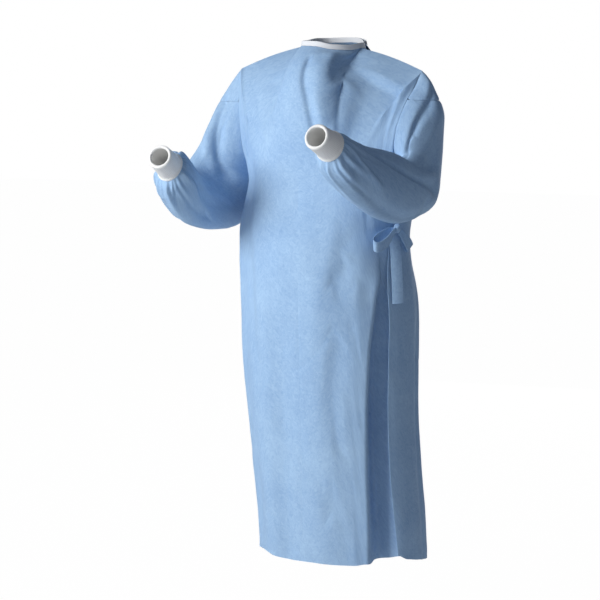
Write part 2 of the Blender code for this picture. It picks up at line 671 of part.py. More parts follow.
def cuff_rings(side):
    table = ARM_LEFT if side == "left" else ARM_RIGHT
    sign = 1 if side == "left" else -1
    inside = np.array([0, -table["fore_in"][-1], table["z_in"][-1]])
    outside = np.array([0, -table["fore_out"][-1], table["z_out"][-1]])
    base = (inside + outside) / 2
    base[0] = sign * (table["side_in"][-1] + table["side_out"][-1]) / 2
    mouth = np.array(CUFF_MOUTH[side])
    axis = unit(mouth - base)
    plane = unit(np.cross((inside - outside), [1.0, 0, 0]))
    plane = plane if plane @ axis > 0 else -plane
    rings = []
    for way, radius in zip(CUFF["way"], CUFF["radius"]):
        facing = unit(plane * (1 - way) + axis * way)
        centre = base + plane * CUFF_GAP + (mouth - base) * way
        u = unit(np.cross(facing, [0, 0, 1.0]))
        v = np.cross(facing, u)
        ring = [centre + (radius - CUFF_WALL / 2) * (u * math.cos(a) + v * math.sin(a))
                for a in [2 * math.pi * i / 24 for i in range(24)]]
        rings.append(ring)
    return np.array(rings)


def build_cuff(side):
    rings = cuff_rings(side)
    points, faces = wall_mesh(rings, CUFF_WALL, wrap=True)
    add_object("cuff_" + side, points, faces, WHITE, 0.85)


def neck_line():
    """Line the binding stands on, from the under layer's corner round the front to the wrap-over's corner."""
    under = back_left_grid()[0]
    turns = back_left_turns()
    inner = [under[j] for j in range(len(turns) - 1, -1, -1) if 180 - turns[j] <= 22]
    front = front_grid()[0]
    angles = front_turns()
    middle = [front[j] for j in range(len(angles) - 1, -1, -1) if abs(angles[j]) <= 24.5]
    over = wrap_grid()[0]
    turns = wrap_turns()
    outer = [over[j] for j in range(len(turns) - 1, -1, -1) if 164 < turns[j] <= 202]
    return np.array(inner + middle + outer)


def build_neck_binding():
    line = neck_line()
    grid = []
    for rise, lean in ((BINDING_SEAT, 0.0), (0.5 * BINDING_RISE, 0.4), (BINDING_RISE, 1.0)):
        row = []
        for p in line:
            inward = unit(np.array([-p[0], -p[1], 0.0]))
            row.append(p + inward * (BINDING_LEAN * lean) + np.array([0, 0, rise]))
        grid.append(row)
    grid = np.array(grid)
    out = np.zeros_like(grid)
    out[:, :, 0], out[:, :, 1] = grid[:, :, 0], grid[:, :, 1]
    n = out / np.maximum(np.linalg.norm(out, axis=2, keepdims=True), 1e-9)
    points, faces = wall_mesh(grid, BINDING_WALL, n=n)
    add_object("neck_binding", points, faces, WHITE, 0.70)


def wrap_surface(turn, z):
    """Point on the outside of the wrap-over and the direction out from it."""
    fade = ease((110 - turn) / 44)
    p = ring_point(turn, z)
    e = 0.5
    along = ring_point(turn + e, z) - ring_point(turn - e, z)
    down = ring_point(turn, z - 0.004) - ring_point(turn, z + 0.004)
    n = unit(np.cross(down, along))
    depth = fold_depth(BACK_FOLDS, turn - fade * smooth(WRAP_FALL["z"], WRAP_FALL["turn"], z), z)
    return p + n * (wrap_out(turn, z) + WALL / 2 - depth), n


def build_tail(name, table):
    grid = []
    for turn, z, away in zip(table["turn"], table["z"], table["away"]):
        p, n = wrap_surface(turn, z)
        ahead, _ = wrap_surface(turn + 0.5, z)
        along = unit(ahead - p)
        middle = p + n * away
        grid.append([middle - along * TIE_WIDTH / 2, middle + n * 0.0006, middle + along * TIE_WIDTH / 2])
    points, faces = wall_mesh(np.array(grid), TIE_WALL)
    add_object(name, points, faces, BLUE, 0.62)


def build_loop(name, table):
    """Loop of the bow: a band that leaves the knot, turns at its tip and comes back under itself."""
    knot, n = wrap_surface(KNOT_TURN, KNOT_Z)
    ahead, _ = wrap_surface(KNOT_TURN + 0.5, KNOT_Z)
    along = unit(ahead - knot)
    up = unit(np.cross(n, along))
    up = up if up[2] > 0 else -up
    run = unit(along * table["along"] + up * table["up"])
    side = unit(np.cross(n, run))
    columns = []
    for reach, away, half in zip(table["reach"], table["away"], table["half"]):
        sag = n * away
        middle = knot + run * reach + sag + up * table["droop"] * (reach / 0.05) ** 2
        columns.append([middle - side * half, middle, middle + side * half])
    grid = np.array(columns).transpose(1, 0, 2)
    wide = np.concatenate([grid[:, -2:], grid, grid[:, :2]], axis=1)
    facing = normals(wide)[:, 2:-2]
    centre = grid.mean(axis=1, keepdims=True)
    if np.sum(facing * (grid - centre)) < 0:
        facing = -facing
    points, faces = wall_mesh(grid, TIE_WALL, wrap=True, n=facing)
    add_object(name, points, faces, BLUE, 0.62)


def build_knot():
    knot, n = wrap_surface(KNOT_TURN, KNOT_Z)
    ahead, _ = wrap_surface(KNOT_TURN + 0.5, KNOT_Z)
    along = unit(ahead - knot)
    up = unit(np.cross(n, along))
    centre = knot + n * KNOT_AWAY
    points = [centre - up * KNOT_SIZE[2]]
    levels, around = 5, 12
    for i in range(1, levels + 1):
        a = math.pi * i / (levels + 1) - math.pi / 2
        for j in range(around):
            b = 2 * math.pi * j / around
            r = math.cos(a) ** 0.6
            points.append(centre + along * KNOT_SIZE[0] * r * math.cos(b) + n * KNOT_SIZE[1] * r * math.sin(b)
                          + up * KNOT_SIZE[2] * math.sin(a))
    points.append(centre + up * KNOT_SIZE[2])
    faces = []
    for j in range(around):
        k = (j + 1) % around
        faces.append((0, 1 + k, 1 + j))
        for i in range(levels - 1):
            a, b = 1 + i * around, 1 + (i + 1) * around
            faces.append((a + j, a + k, b + k, b + j))
        top = 1 + (levels - 1) * around
        faces.append((len(points) - 1, top + j, top + k))
    add_object("tie_knot", points, faces, BLUE, 0.62)


def main():
    for old in list(bpy.data.objects):
        bpy.data.objects.remove(old)
    points, faces = wall_mesh(front_grid(), WALL)
    add_object("front", points, faces, BLUE, 0.62)
    points, faces = wall_mesh(back_left_grid(), WALL)
    add_object("back_left", points, faces, BLUE, 0.62)
    points, faces = wall_mesh(wrap_grid(), WALL)
    add_object("back_right", points, faces, BLUE, 0.62)
    for side in ("left", "right"):
        build_sleeve(side)
        build_cuff(side)
    build_neck_binding()
    build_knot()
    build_loop("tie_loop_front", LOOP_FRONT)
    build_loop("tie_loop_back", LOOP_BACK)
    build_tail("tie_tail_long", TAIL_LONG)
    build_tail("tie_tail_short", TAIL_SHORT)


main()
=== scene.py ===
import math
import bpy
import numpy as np
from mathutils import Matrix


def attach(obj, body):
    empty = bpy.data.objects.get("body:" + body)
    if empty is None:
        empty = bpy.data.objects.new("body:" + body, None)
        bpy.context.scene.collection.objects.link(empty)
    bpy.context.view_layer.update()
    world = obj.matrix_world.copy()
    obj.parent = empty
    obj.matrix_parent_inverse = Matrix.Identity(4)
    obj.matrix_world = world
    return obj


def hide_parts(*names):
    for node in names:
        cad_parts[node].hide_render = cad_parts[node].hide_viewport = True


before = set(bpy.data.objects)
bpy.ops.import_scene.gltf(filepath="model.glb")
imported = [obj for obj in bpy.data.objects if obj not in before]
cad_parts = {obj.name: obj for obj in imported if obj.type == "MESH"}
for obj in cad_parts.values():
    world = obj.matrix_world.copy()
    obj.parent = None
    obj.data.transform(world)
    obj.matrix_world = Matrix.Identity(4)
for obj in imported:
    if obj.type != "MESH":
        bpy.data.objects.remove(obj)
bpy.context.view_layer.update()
bpy.ops.object.select_all(action="DESELECT")
print("frame loaded")

# metres; +X is the wearer's left, -Y the front, +Z up, and turns are degrees from the front towards the left
gown = {
    "cloth": 0.0006,  # thickness of the blue cloth
    "seamGap": 0.0003,
    "shoulderGap": 0.0003,
    "sideRadius": 0.19,  # from the middle to the side seams of the front and the under layer
    "wrapRadius": 0.21,  # and to that of the wrap-over
    "chest": -0.32,
    "hem": -1.194,
    "underEnd": 189,  # where the under layer of the back ends
    "lap": 0.0031,  # how far the wrap-over lies out from the under layer
    "neckLap": 0.0075,
    "neckHalf": 24.5,  # turn from the middle to where the neck edge meets the shoulder seam
    "perDegree": 0.0035,  # cloth in one degree of turn
    "crumple": 0.0030,  # depth of the panels' shallow folds
}
rings = {  # level outline of the gown from the chest down
    "z": (-0.32, -0.38, -0.44, -0.50, -0.56, -0.66, -0.80, -0.97, -1.10, -1.19),
    "right": (0.205, 0.222, 0.234, 0.237, 0.235, 0.230, 0.224, 0.215, 0.199, 0.191),
    "left": (0.197, 0.188, 0.181, 0.187, 0.196, 0.203, 0.203, 0.210, 0.220, 0.226),
    "front": (0.158, 0.160, 0.160, 0.160, 0.159, 0.155, 0.151, 0.145, 0.138, 0.135),
    "back": (0.122, 0.119, 0.118, 0.121, 0.126, 0.130, 0.132, 0.137, 0.144, 0.148),
    "power": (0.78, 0.83, 0.88, 0.92, 0.93, 0.93, 0.93, 0.93, 0.93, 0.93),
}
armhole = {  # the left one, from the underarm up the front, over the shoulder and down the back
    "out": (0.201, 0.2045, 0.203, 0.206, 0.213, 0.221, 0.2275, 0.222, 0.212, 0.203, 0.200, 0.200),
    "fore": (0.006, 0.052, 0.084, 0.079, 0.053, 0.024, 0.000, -0.030, -0.058, -0.074, -0.066, -0.034),
    "z": (-0.300, -0.288, -0.245, -0.192, -0.142, -0.104, -0.070, -0.104, -0.150, -0.205, -0.260, -0.292),
    "rightOut": 0.010, "rightFore": 0.034, "rightRise": 0.014,
}
neckEdge = {
    "turn": (-90, -60, -30, 0, 30, 60, 90, 120, 150, 180, 210, 240, 270),
    "z": (-0.006, -0.009, -0.011, -0.014, -0.021, -0.022, -0.016, -0.013, -0.003, 0.001, 0.001, 0.000, -0.006),
    "left": 0.069, "right": 0.078, "front": 0.080, "back": 0.066,
}
hems = {  # turn about the gown and height of the hem, on the front panel and on the wrap-over
    "frontTurn": (-88, -70, -58, -46, -34, -24, -12, 0, 10, 24, 45, 58, 64, 70, 78, 83, 88),
    "front": (-1.210, -1.2095, -1.2055, -1.200, -1.198, -1.2014, -1.2034, -1.1993, -1.1968, -1.196, -1.1938, -1.190,
              -1.191, -1.187, -1.179, -1.186, -1.1905),
    "wrapTurn": (66, 68, 70.5, 74, 79, 85, 92, 99, 105, 117, 130, 150, 180, 215, 255, 272),
    "wrap": (-1.171, -1.1725, -1.177, -1.182, -1.185, -1.189, -1.1935, -1.199, -1.203, -1.210, -1.210, -1.204, -1.198,
             -1.197, -1.208, -1.210),
}
starts = {"turn": (0, 24, 42, 66, 80, 90), "way": (3, 2, 1, 0.36, 0.14, 0)}  # where a column starts on the top edge


def flow(xs, ys, x):  # smooth curve through the points that never passes them
    xs, ys = np.asarray(xs, float), np.asarray(ys, float)
    if xs[0] > xs[-1]:
        xs, ys = xs[::-1], ys[::-1]
    step = np.diff(xs)
    slope = np.diff(ys) / step
    lean = np.zeros(len(xs))
    a, b = 2 * step[1:] + step[:-1], step[1:] + 2 * step[:-1]
    same = slope[:-1] * slope[1:] > 0
    before, after = np.where(same, slope[:-1], 1), np.where(same, slope[1:], 1)
    lean[1:-1] = np.where(same, (a + b) / (a / before + b / after), 0)
    lean[0], lean[-1] = slope[0], slope[-1]
    x = np.clip(np.asarray(x, float), xs[0], xs[-1])
    i = np.clip(np.searchsorted(xs, x, side="right") - 1, 0, len(xs) - 2)
    t = (x - xs[i]) / step[i]
    return ((2 * t**3 - 3 * t**2 + 1) * ys[i] + (t**3 - 2 * t**2 + t) * step[i] * lean[i]
            + (3 * t**2 - 2 * t**3) * ys[i + 1] + (t**3 - t**2) * step[i] * lean[i + 1])


def through(points, t, closed=False):  # flowing line through the points, at shares t of it
    points = np.asarray(points, float)
    count = len(points)
    spans = count if closed else count - 1
    x = np.mod(t, 1.0) * spans if closed else np.clip(t, 0, 1) * spans
    i = np.minimum(x.astype(int), spans - 1)
    f = (x - i).reshape(-1, *[1] * (points.ndim - 1))
    if closed:
        p0, p1, p2, p3 = (points[(i + k) % count] for k in (-1, 0, 1, 2))
    else:
        padded = np.concatenate([[2 * points[0] - points[1]], points, [2 * points[-1] - points[-2]]])
        p0, p1, p2, p3 = (padded[i + k] for k in (0, 1, 2, 3))
    return 0.5 * (2 * p1 + (p2 - p0) * f + (2 * p0 - 5 * p1 + 4 * p2 - p3) * f * f
                  + (3 * p1 - p0 - 3 * p2 + p3) * f**3)


def unit(v):
    v = np.asarray(v, float)
    return v / np.maximum(np.linalg.norm(v, axis=-1, keepdims=True), 1e-12)


def ease(t):
    t = np.clip(t, 0.0, 1.0)
    return t * t * (3 - 2 * t)


def along(line, at):  # points at lengths along a line of points
    length = lengthsOf(line)
    return np.stack([np.interp(at, length, line[:, k]) for k in range(3)], axis=1)


def lengthsOf(line):
    return np.concatenate([[0], np.cumsum(np.linalg.norm(np.diff(line, axis=0), axis=1))])


def ringPoint(turn, z):
    turn, z = np.broadcast_arrays(np.asarray(turn, float), np.asarray(z, float))
    s, c = np.sin(np.radians(turn)), np.cos(np.radians(turn))
    across = np.where(s > 0, flow(rings["z"], rings["left"], z), flow(rings["z"], rings["right"], z))
    deep = np.where(c > 0, flow(rings["z"], rings["front"], z), flow(rings["z"], rings["back"], z))
    power = flow(rings["z"], rings["power"], z)
    return np.stack([across * np.sign(s) * np.abs(s)**power, -deep * np.sign(c) * np.abs(c)**power, z], axis=-1)


def armholePoint(side, t):  # share 0 under the arm, 0.5 on the shoulder
    rows = np.column_stack([armhole["out"], -np.array(armhole["fore"]), armhole["z"]])
    p = through(rows, np.atleast_1d(np.asarray(t, float)), closed=True)
    if side == "right":
        high = ease((p[:, 2] + 0.26) / 0.19)
        p[:, 0] = -p[:, 0] - armhole["rightOut"] * high
        p[:, 1] -= armhole["rightFore"] * high
        p[:, 2] += armhole["rightRise"] * high
    return p


def neckPoint(turn):
    a = math.radians(turn)
    deep = neckEdge["front"] if math.cos(a) > 0 else neckEdge["back"]
    z = float(flow(neckEdge["turn"], neckEdge["z"], turn if turn <= 270 else turn - 360))
    wide = neckEdge["left" if math.sin(a) > 0 else "right"]
    return np.array([wide * math.sin(a), -deep * math.cos(a), z])


def columnTop(turn, face):  # where a column of a panel starts, and how it rounds over the shoulder
    if face == "front":
        side, fromMiddle = ("left" if turn >= 0 else "right"), abs(turn)
    elif turn < 90:
        side, fromMiddle, face = "left", turn, "front"
    else:
        side, fromMiddle = ("left" if turn <= 180 else "right"), abs(180 - turn)
    sign = 1 if side == "left" else -1
    way = float(flow(starts["turn"], starts["way"], fromMiddle))
    front = face == "front"
    if way <= 1:
        p = armholePoint(side, 0.5 * way if front else 1 - 0.5 * way)[0]
    elif way <= 2:
        tip = armholePoint(side, 0.5)[0]
        p = tip + (neckPoint(90 if sign > 0 else 270) - tip) * (way - 1)
        p[2] += 0.005 * math.sin(math.pi * (way - 1))
    else:
        about = 90 - 90 * (way - 2) if front else 90 + 90 * (way - 2)
        p = neckPoint(about * sign if front or sign > 0 else 360 - about)
    share = float(flow((0, 0.36, 1, 2, 3), (0.02, 0.12, 0.62, 0.90, 0.92), way))
    inward = float(flow((0, 0.36, 1, 2, 3), (0.10, 0.45, 0.55, 0.05, 0.0), way))
    return p, np.array([-sign * inward, -1.0 if front else 1.0, -0.50]), share


def hang(turns, face, turnAt, feet, upperRows, lowerRows):  # plain cloth of a panel, and the turn of each point
    t = np.linspace(0, 1, upperRows)[:, None]
    s = np.linspace(0, 1, lowerRows + 1)[1:]
    points = np.zeros((upperRows + lowerRows, len(turns), 3))
    at = np.zeros((upperRows + lowerRows, len(turns)))
    for j, turn in enumerate(turns):
        start, over, share = columnTop(turn, face)
        z = gown["chest"] + (feet[j] - gown["chest"]) * s
        at[:upperRows, j] = turnAt(turn, gown["chest"])
        at[upperRows:, j] = turnAt(turn, z)
        end = ringPoint(at[0, j], gown["chest"])
        reach = np.linalg.norm(end - start)
        heading = unit(unit(end - start) * (1 - share) + unit(over) * share)
        a, b = start + heading * reach * 0.42, end + np.array([0, 0, reach * 0.40])
        points[:upperRows, j] = (1 - t)**3 * start + 3 * (1 - t)**2 * t * a + 3 * (1 - t) * t * t * b + t**3 * end
        points[upperRows:, j] = ringPoint(at[upperRows:, j], z)
    return points, at


def outward(grid, wrap=False):  # outward directions of a grid whose rows run down and columns towards the left
    if wrap:
        wide = np.concatenate([grid[:, -2:], grid, grid[:, :2]], axis=1)
        return outward(wide)[:, 2:-2]
    return unit(np.cross(np.gradient(grid, axis=0), np.gradient(grid, axis=1)))


def foldDepth(rows, turn, z):
    depth = np.zeros_like(z)
    for row in rows[1:]:
        f = dict(zip(rows[0], row))
        near = (turn - f["turn"] - f["lean"] * (f["top"] - z)) / f["half"]
        length = f["top"] - f["foot"]
        start = ease((f["top"] - z) / min(0.12, 0.4 * length))
        stop = 1.0 if f["foot"] < gown["hem"] else ease((z - f["foot"]) / min(0.16, 0.5 * length))
        shape = np.where(np.abs(near) < 2, (0.5 + 0.5 * np.cos(np.pi * near / 2))**2, 0)
        depth += f["depth"] * start * stop * shape
    return depth


def evenTurns(first, last, count, lengthOf, marks):  # turns evenly spaced along the cloth, with some kept exactly
    dense = np.linspace(first, last, 1500)
    turns = np.interp(np.linspace(0, 1, count), lengthOf(dense), dense)
    for mark in marks:
        turns[np.argmin(np.abs(turns - mark))] = mark
    return turns


def clothMap(grid):  # place of each point on the flat cloth, in metres
    down = np.linalg.norm(np.diff(grid, axis=0), axis=2)
    v = np.concatenate([np.zeros((1, grid.shape[1])), np.cumsum(down, axis=0)])
    across = np.linalg.norm(np.diff(grid, axis=1), axis=2).mean(axis=0)
    u = np.concatenate([[0], np.cumsum(across)])
    return np.stack([np.broadcast_to(u, v.shape), v], axis=-1)


def crease(flat, line, before, after, deep, sharp, fade=0.03):
    # how deep a crease presses in, from its line on the flat cloth and its half width on each side of it
    line = np.asarray(line, float)
    if not sharp:
        line = through(line, np.linspace(0, 1, 4 * len(line)))
    best = np.full(flat.shape[:2], 1e9)
    way, hand = np.zeros(flat.shape[:2]), np.zeros(flat.shape[:2])
    run = 0.0
    for a, b in zip(line[:-1], line[1:]):
        d = b - a
        length = np.linalg.norm(d)
        t = np.clip(((flat - a) @ d) / length**2, 0, 1)
        off = flat - (a + t[..., None] * d)
        gap = np.linalg.norm(off, axis=-1)
        near = gap < best
        best = np.where(near, gap, best)
        way = np.where(near, run + t * length, way)
        hand = np.where(near, off[..., 0] * d[1] - off[..., 1] * d[0], hand)
        run += length
    wide = np.where(hand > 0, after, before)
    shape = np.exp(-best / wide) if sharp else np.exp(-(best / wide)**2)
    fade = min(fade, 0.35 * run)
    return deep * shape * ease(way / fade) * ease((run - way) / fade)


def spot(flat, first, second, scale, a, b):  # place on the flat cloth of the point nearest to two coordinates
    gap = ((first - a) * scale)**2 + (second - b)**2
    i, j = np.unravel_index(np.argmin(gap), gap.shape)
    return flat[i, j]


def relief(flat, first, second, scale, rows, around=0.0):  # depth of all the creases of a piece
    depth = np.zeros(flat.shape[:2])
    for row in rows[1:]:
        r = dict(zip(rows[0], row))
        line = [spot(flat, first, second, scale, a, b) for a, b in r["line"]]
        for k in range(1, len(line)):
            if around and abs(line[k][0] - line[k - 1][0]) > around / 2:
                line[k] = line[k] - np.array([around * np.sign(line[k][0] - line[k - 1][0]), 0])
        for shift in ((-around, 0, around) if around else (0,)):
            moved = [p + np.array([shift, 0]) for p in line]
            depth += crease(flat, moved, r["before"], r["after"], r["deep"], r["sharp"])
    return depth


def softNoise(flat, wide, tall, seed, around=0.0):  # smooth uneven field over the flat cloth, about -1 to 1
    lattice = np.random.default_rng(seed).uniform(-1, 1, (96, 96))
    columns = max(round(around / wide), 1) if around else 96
    if around:
        wide = around / columns
    x, y = flat[..., 0] / wide + (0 if around else 7.3), flat[..., 1] / tall + 9.1
    i, j = np.floor(x).astype(int), np.floor(y).astype(int)
    f, g = ease(x - i), ease(y - j)
    a, b = i % columns, (i + 1) % columns
    top = lattice[j % 96, a] * (1 - f) + lattice[j % 96, b] * f
    foot = lattice[(j + 1) % 96, a] * (1 - f) + lattice[(j + 1) % 96, b] * f
    return top * (1 - g) + foot * g


def crumple(flat, seed, around=0.0):  # shallow uneven folds of worn cloth, longer down than across
    wide = softNoise(flat, 0.085, 0.17, seed, around)
    fine = softNoise(flat, 0.036, 0.060, seed + 1, around)
    tiny = softNoise(flat, 0.015, 0.021, seed + 2, around)
    ridge = 0.5 - np.abs(softNoise(flat, 0.10, 0.13, seed + 3, around))
    return 0.55 * wide + 0.26 * fine + 0.09 * tiny + 0.35 * ridge


turned = ((0.0, 0.0), (0.0005, 0.0), (0.0018, 0.0002), (0.0055, 0.0007))  # seam allowance: inwards, back under


def turnIn(grid, flat, top=None, foot=None, left=0.0, right=0.0, n=None):
    # adds the cloth turned in at a piece's seams; each share is 1 at a seam and small at a cut edge
    rows, cols = grid.shape[:2]
    n = outward(grid) if n is None else n
    one = np.ones(cols)
    steps = np.array(turned[1:])
    at, inRow, backRow = list(range(rows)), [one * 0] * rows, [0.0] * rows
    if top is not None:
        at = [0] * len(steps) + at
        inRow = [top * k for k in steps[::-1, 0]] + inRow
        backRow = [k for k in steps[::-1, 1]] + backRow
    if foot is not None:
        at = at + [rows - 1] * len(steps)
        inRow = inRow + [foot * k for k in steps[:, 0]]
        backRow = backRow + [-k for k in steps[:, 1]]
    across, inCol, backCol = list(range(cols)), [0.0] * cols, [0.0] * cols
    if left:
        across = [0] * len(steps) + across
        inCol = [left * k for k in steps[::-1, 0]] + inCol
        backCol = [left * k for k in steps[::-1, 1]] + backCol
    if right:
        across = across + [cols - 1] * len(steps)
        inCol = inCol + [right * k for k in steps[:, 0]]
        backCol = backCol + [-right * k for k in steps[:, 1]]
    down = unit(np.gradient(grid, axis=0))[at][:, across]
    sideways = unit(np.gradient(grid, axis=1))[at][:, across]
    deep = np.maximum(np.array(inRow)[:, across], np.array(inCol)[None, :])
    back = np.array(backRow)[:, None] * (np.array(inRow)[:, across] > 0)
    out = grid[at][:, across] - n[at][:, across] * deep[..., None]
    out = out + down * back[..., None] + sideways * np.array(backCol)[None, :, None]
    lay = flat[at][:, across].copy()
    lay[..., 1] -= np.sign(back) * deep
    lay[..., 0] -= np.sign(np.array(backCol))[None, :] * np.array(inCol)[None, :]
    return out, lay


def panelOutward(grid):  # straight up across the shoulder seam, so both its sides turn in side by side
    n = outward(grid)
    level = n[0] * np.where((n[0, :, 2] > 0.35)[:, None], np.array([1.0, 0.1, 1.0]), 1.0)
    n[0] = unit(level)
    return n


def clothPiece(name, grid, material, wrap=False, thickness=None, flat=None):
    rows, cols = grid.shape[:2]
    flat = clothMap(grid) if flat is None else flat
    faces, corners = [], []
    last = cols if wrap else cols - 1
    seam = np.linalg.norm(grid[:, 0] - grid[:, -1], axis=1).mean()
    for i in range(rows - 1):
        for j in range(last):
            k = (j + 1) % cols
            faces.append((i * cols + j, (i + 1) * cols + j, (i + 1) * cols + k, i * cols + k))
            far = flat[i, -1, 0] + seam if k == 0 else None
            for r, c in ((i, j), (i + 1, j), (i + 1, k), (i, k)):
                corners.append((far if far is not None and c == 0 else flat[r, c, 0], flat[r, c, 1]))
    mesh = bpy.data.meshes.new(name)
    mesh.from_pydata(grid.reshape(-1, 3).tolist(), [], faces)
    layer = mesh.uv_layers.new(name="cloth")
    layer.data.foreach_set("uv", np.asarray(corners, np.float32).ravel())
    piece = bpy.data.objects.new(name, mesh)
    bpy.context.collection.objects.link(piece)
    piece.data.materials.append(material)
    thicken(piece, gown["cloth"] if thickness is None else thickness)
    return piece


def carry(piece, node):
    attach(piece, "root")
    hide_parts(node)


def thicken(piece, thickness):
    bpy.ops.object.select_all(action="DESELECT")
    piece.select_set(True)
    bpy.context.view_layer.objects.active = piece
    wall = piece.modifiers.new("wall", "SOLIDIFY")
    wall.thickness = thickness
    wall.offset = 0
    wall.use_even_offset = False
    bpy.ops.object.modifier_apply(modifier="wall")
    bpy.ops.object.shade_smooth_by_angle(angle=math.radians(50))
    piece.select_set(False)


class Paint:  # a socket of a material, so that maths on it reads as it is written
    def __init__(self, tree, socket=None):
        self.tree, self.socket = tree, socket

    def node(self, kind, settings=None, sockets=None, out=0):
        made = self.tree.nodes.new(kind)
        for key, value in (settings or {}).items():
            if key == "stops":
                ramp = made.color_ramp
                while len(ramp.elements) < len(value):
                    ramp.elements.new(0.5)
                for stop, (place, colour) in zip(ramp.elements, value):
                    stop.position, stop.color = place, colour
            else:
                setattr(made, key, value)
        for key, value in (sockets or {}).items():
            if isinstance(value, Paint):
                self.tree.links.new(value.socket, made.inputs[key])
            else:
                made.inputs[key].default_value = value
        return Paint(self.tree, made.outputs[out])

    def maths(self, operation, *values):
        return self.node("ShaderNodeMath", {"operation": operation}, dict(enumerate(values)))

    def __add__(self, other):
        return self.maths("ADD", self, other)

    def __sub__(self, other):
        return self.maths("SUBTRACT", self, other)

    def __mul__(self, other):
        return self.maths("MULTIPLY", self, other)


def linear(colour):
    return tuple(c / 12.92 if c < 0.04045 else ((c + 0.055) / 1.055)**2.4 for c in colour) + (1,)


def newMaterial(name, settings):
    material = bpy.data.materials.new(name)
    material.use_nodes = True
    shader = material.node_tree.nodes["Principled BSDF"]
    for key, value in settings.items():
        shader.inputs[key].default_value = value
    return material, shader, Paint(material.node_tree)


nonwoven = {
    "light": (0.690, 0.812, 0.925), "deep": (0.560, 0.695, 0.850),
    "cloud": 9.0, "fibre": 110.0, "bondPitch": 0.0021, "bump": 0.16,
}


def nonwovenMaterial(name, look):
    material, shader, paint = newMaterial(name, {"Roughness": 0.75, "Specular IOR Level": 0.15, "Sheen Weight": 0.04,
                                                 "Sheen Roughness": 0.5})
    cloth = paint.node("ShaderNodeUVMap", {"uv_map": "cloth"})
    place = paint.node("ShaderNodeTexCoord", out=3)
    cloud = paint.node("ShaderNodeTexNoise", {}, {"Vector": place, "Scale": look["cloud"], "Detail": 5.0,
                                                  "Roughness": 0.6})
    fibre = paint.node("ShaderNodeTexNoise", {}, {"Vector": cloth, "Scale": look["fibre"], "Detail": 3.0,
                                                  "Distortion": 1.5})
    turn = 2 * math.pi / look["bondPitch"]
    parts = paint.node("ShaderNodeSeparateXYZ", {}, {"Vector": cloth})
    across, down = parts, Paint(parts.tree, parts.socket.node.outputs[1])
    bond = (across * turn).maths("SINE", across * turn) * (down * turn).maths("SINE", down * turn)
    bond = bond.maths("MULTIPLY", bond, bond)
    mix = cloud * 0.45 + fibre * 0.55
    stops = [(0.30, linear(look["deep"])), (0.70, linear(look["light"]))]
    colour = paint.node("ShaderNodeValToRGB", {"stops": stops}, {"Fac": mix})
    paint.tree.links.new(colour.socket, shader.inputs["Base Color"])
    height = fibre * 0.5 - bond * 0.5
    bump = paint.node("ShaderNodeBump", {}, {"Height": height, "Strength": look["bump"], "Distance": 0.0006})
    paint.tree.links.new(bump.socket, shader.inputs["Normal"])
    return material


def whiteMaterial(name, look):
    material, shader, paint = newMaterial(name, {"Roughness": look["roughness"], "Specular IOR Level": 0.2})
    cloth = paint.node("ShaderNodeUVMap", {"uv_map": "cloth"})
    knit = paint.node("ShaderNodeTexNoise", {}, {"Vector": cloth, "Scale": look["scale"], "Detail": 3.0})
    stops = [(0.3, linear(look["deep"])), (0.7, linear(look["light"]))]
    colour = paint.node("ShaderNodeValToRGB", {"stops": stops}, {"Fac": knit})
    paint.tree.links.new(colour.socket, shader.inputs["Base Color"])
    bump = paint.node("ShaderNodeBump", {}, {"Height": knit, "Strength": 0.3, "Distance": 0.0003})
    paint.tree.links.new(bump.socket, shader.inputs["Normal"])
    return material


blue = nonwovenMaterial("blueNonwoven", nonwoven)
knitLook = {"light": (0.985, 0.985, 0.98), "deep": (0.94, 0.94, 0.93), "roughness": 0.9, "scale": 700.0}
bindingLook = {"light": (0.93, 0.94, 0.95), "deep": (0.88, 0.89, 0.905), "roughness": 0.75, "scale": 900.0}
whiteKnit = whiteMaterial("whiteKnit", knitLook)
whiteBinding = whiteMaterial("whiteBinding", bindingLook)
print("materials made")

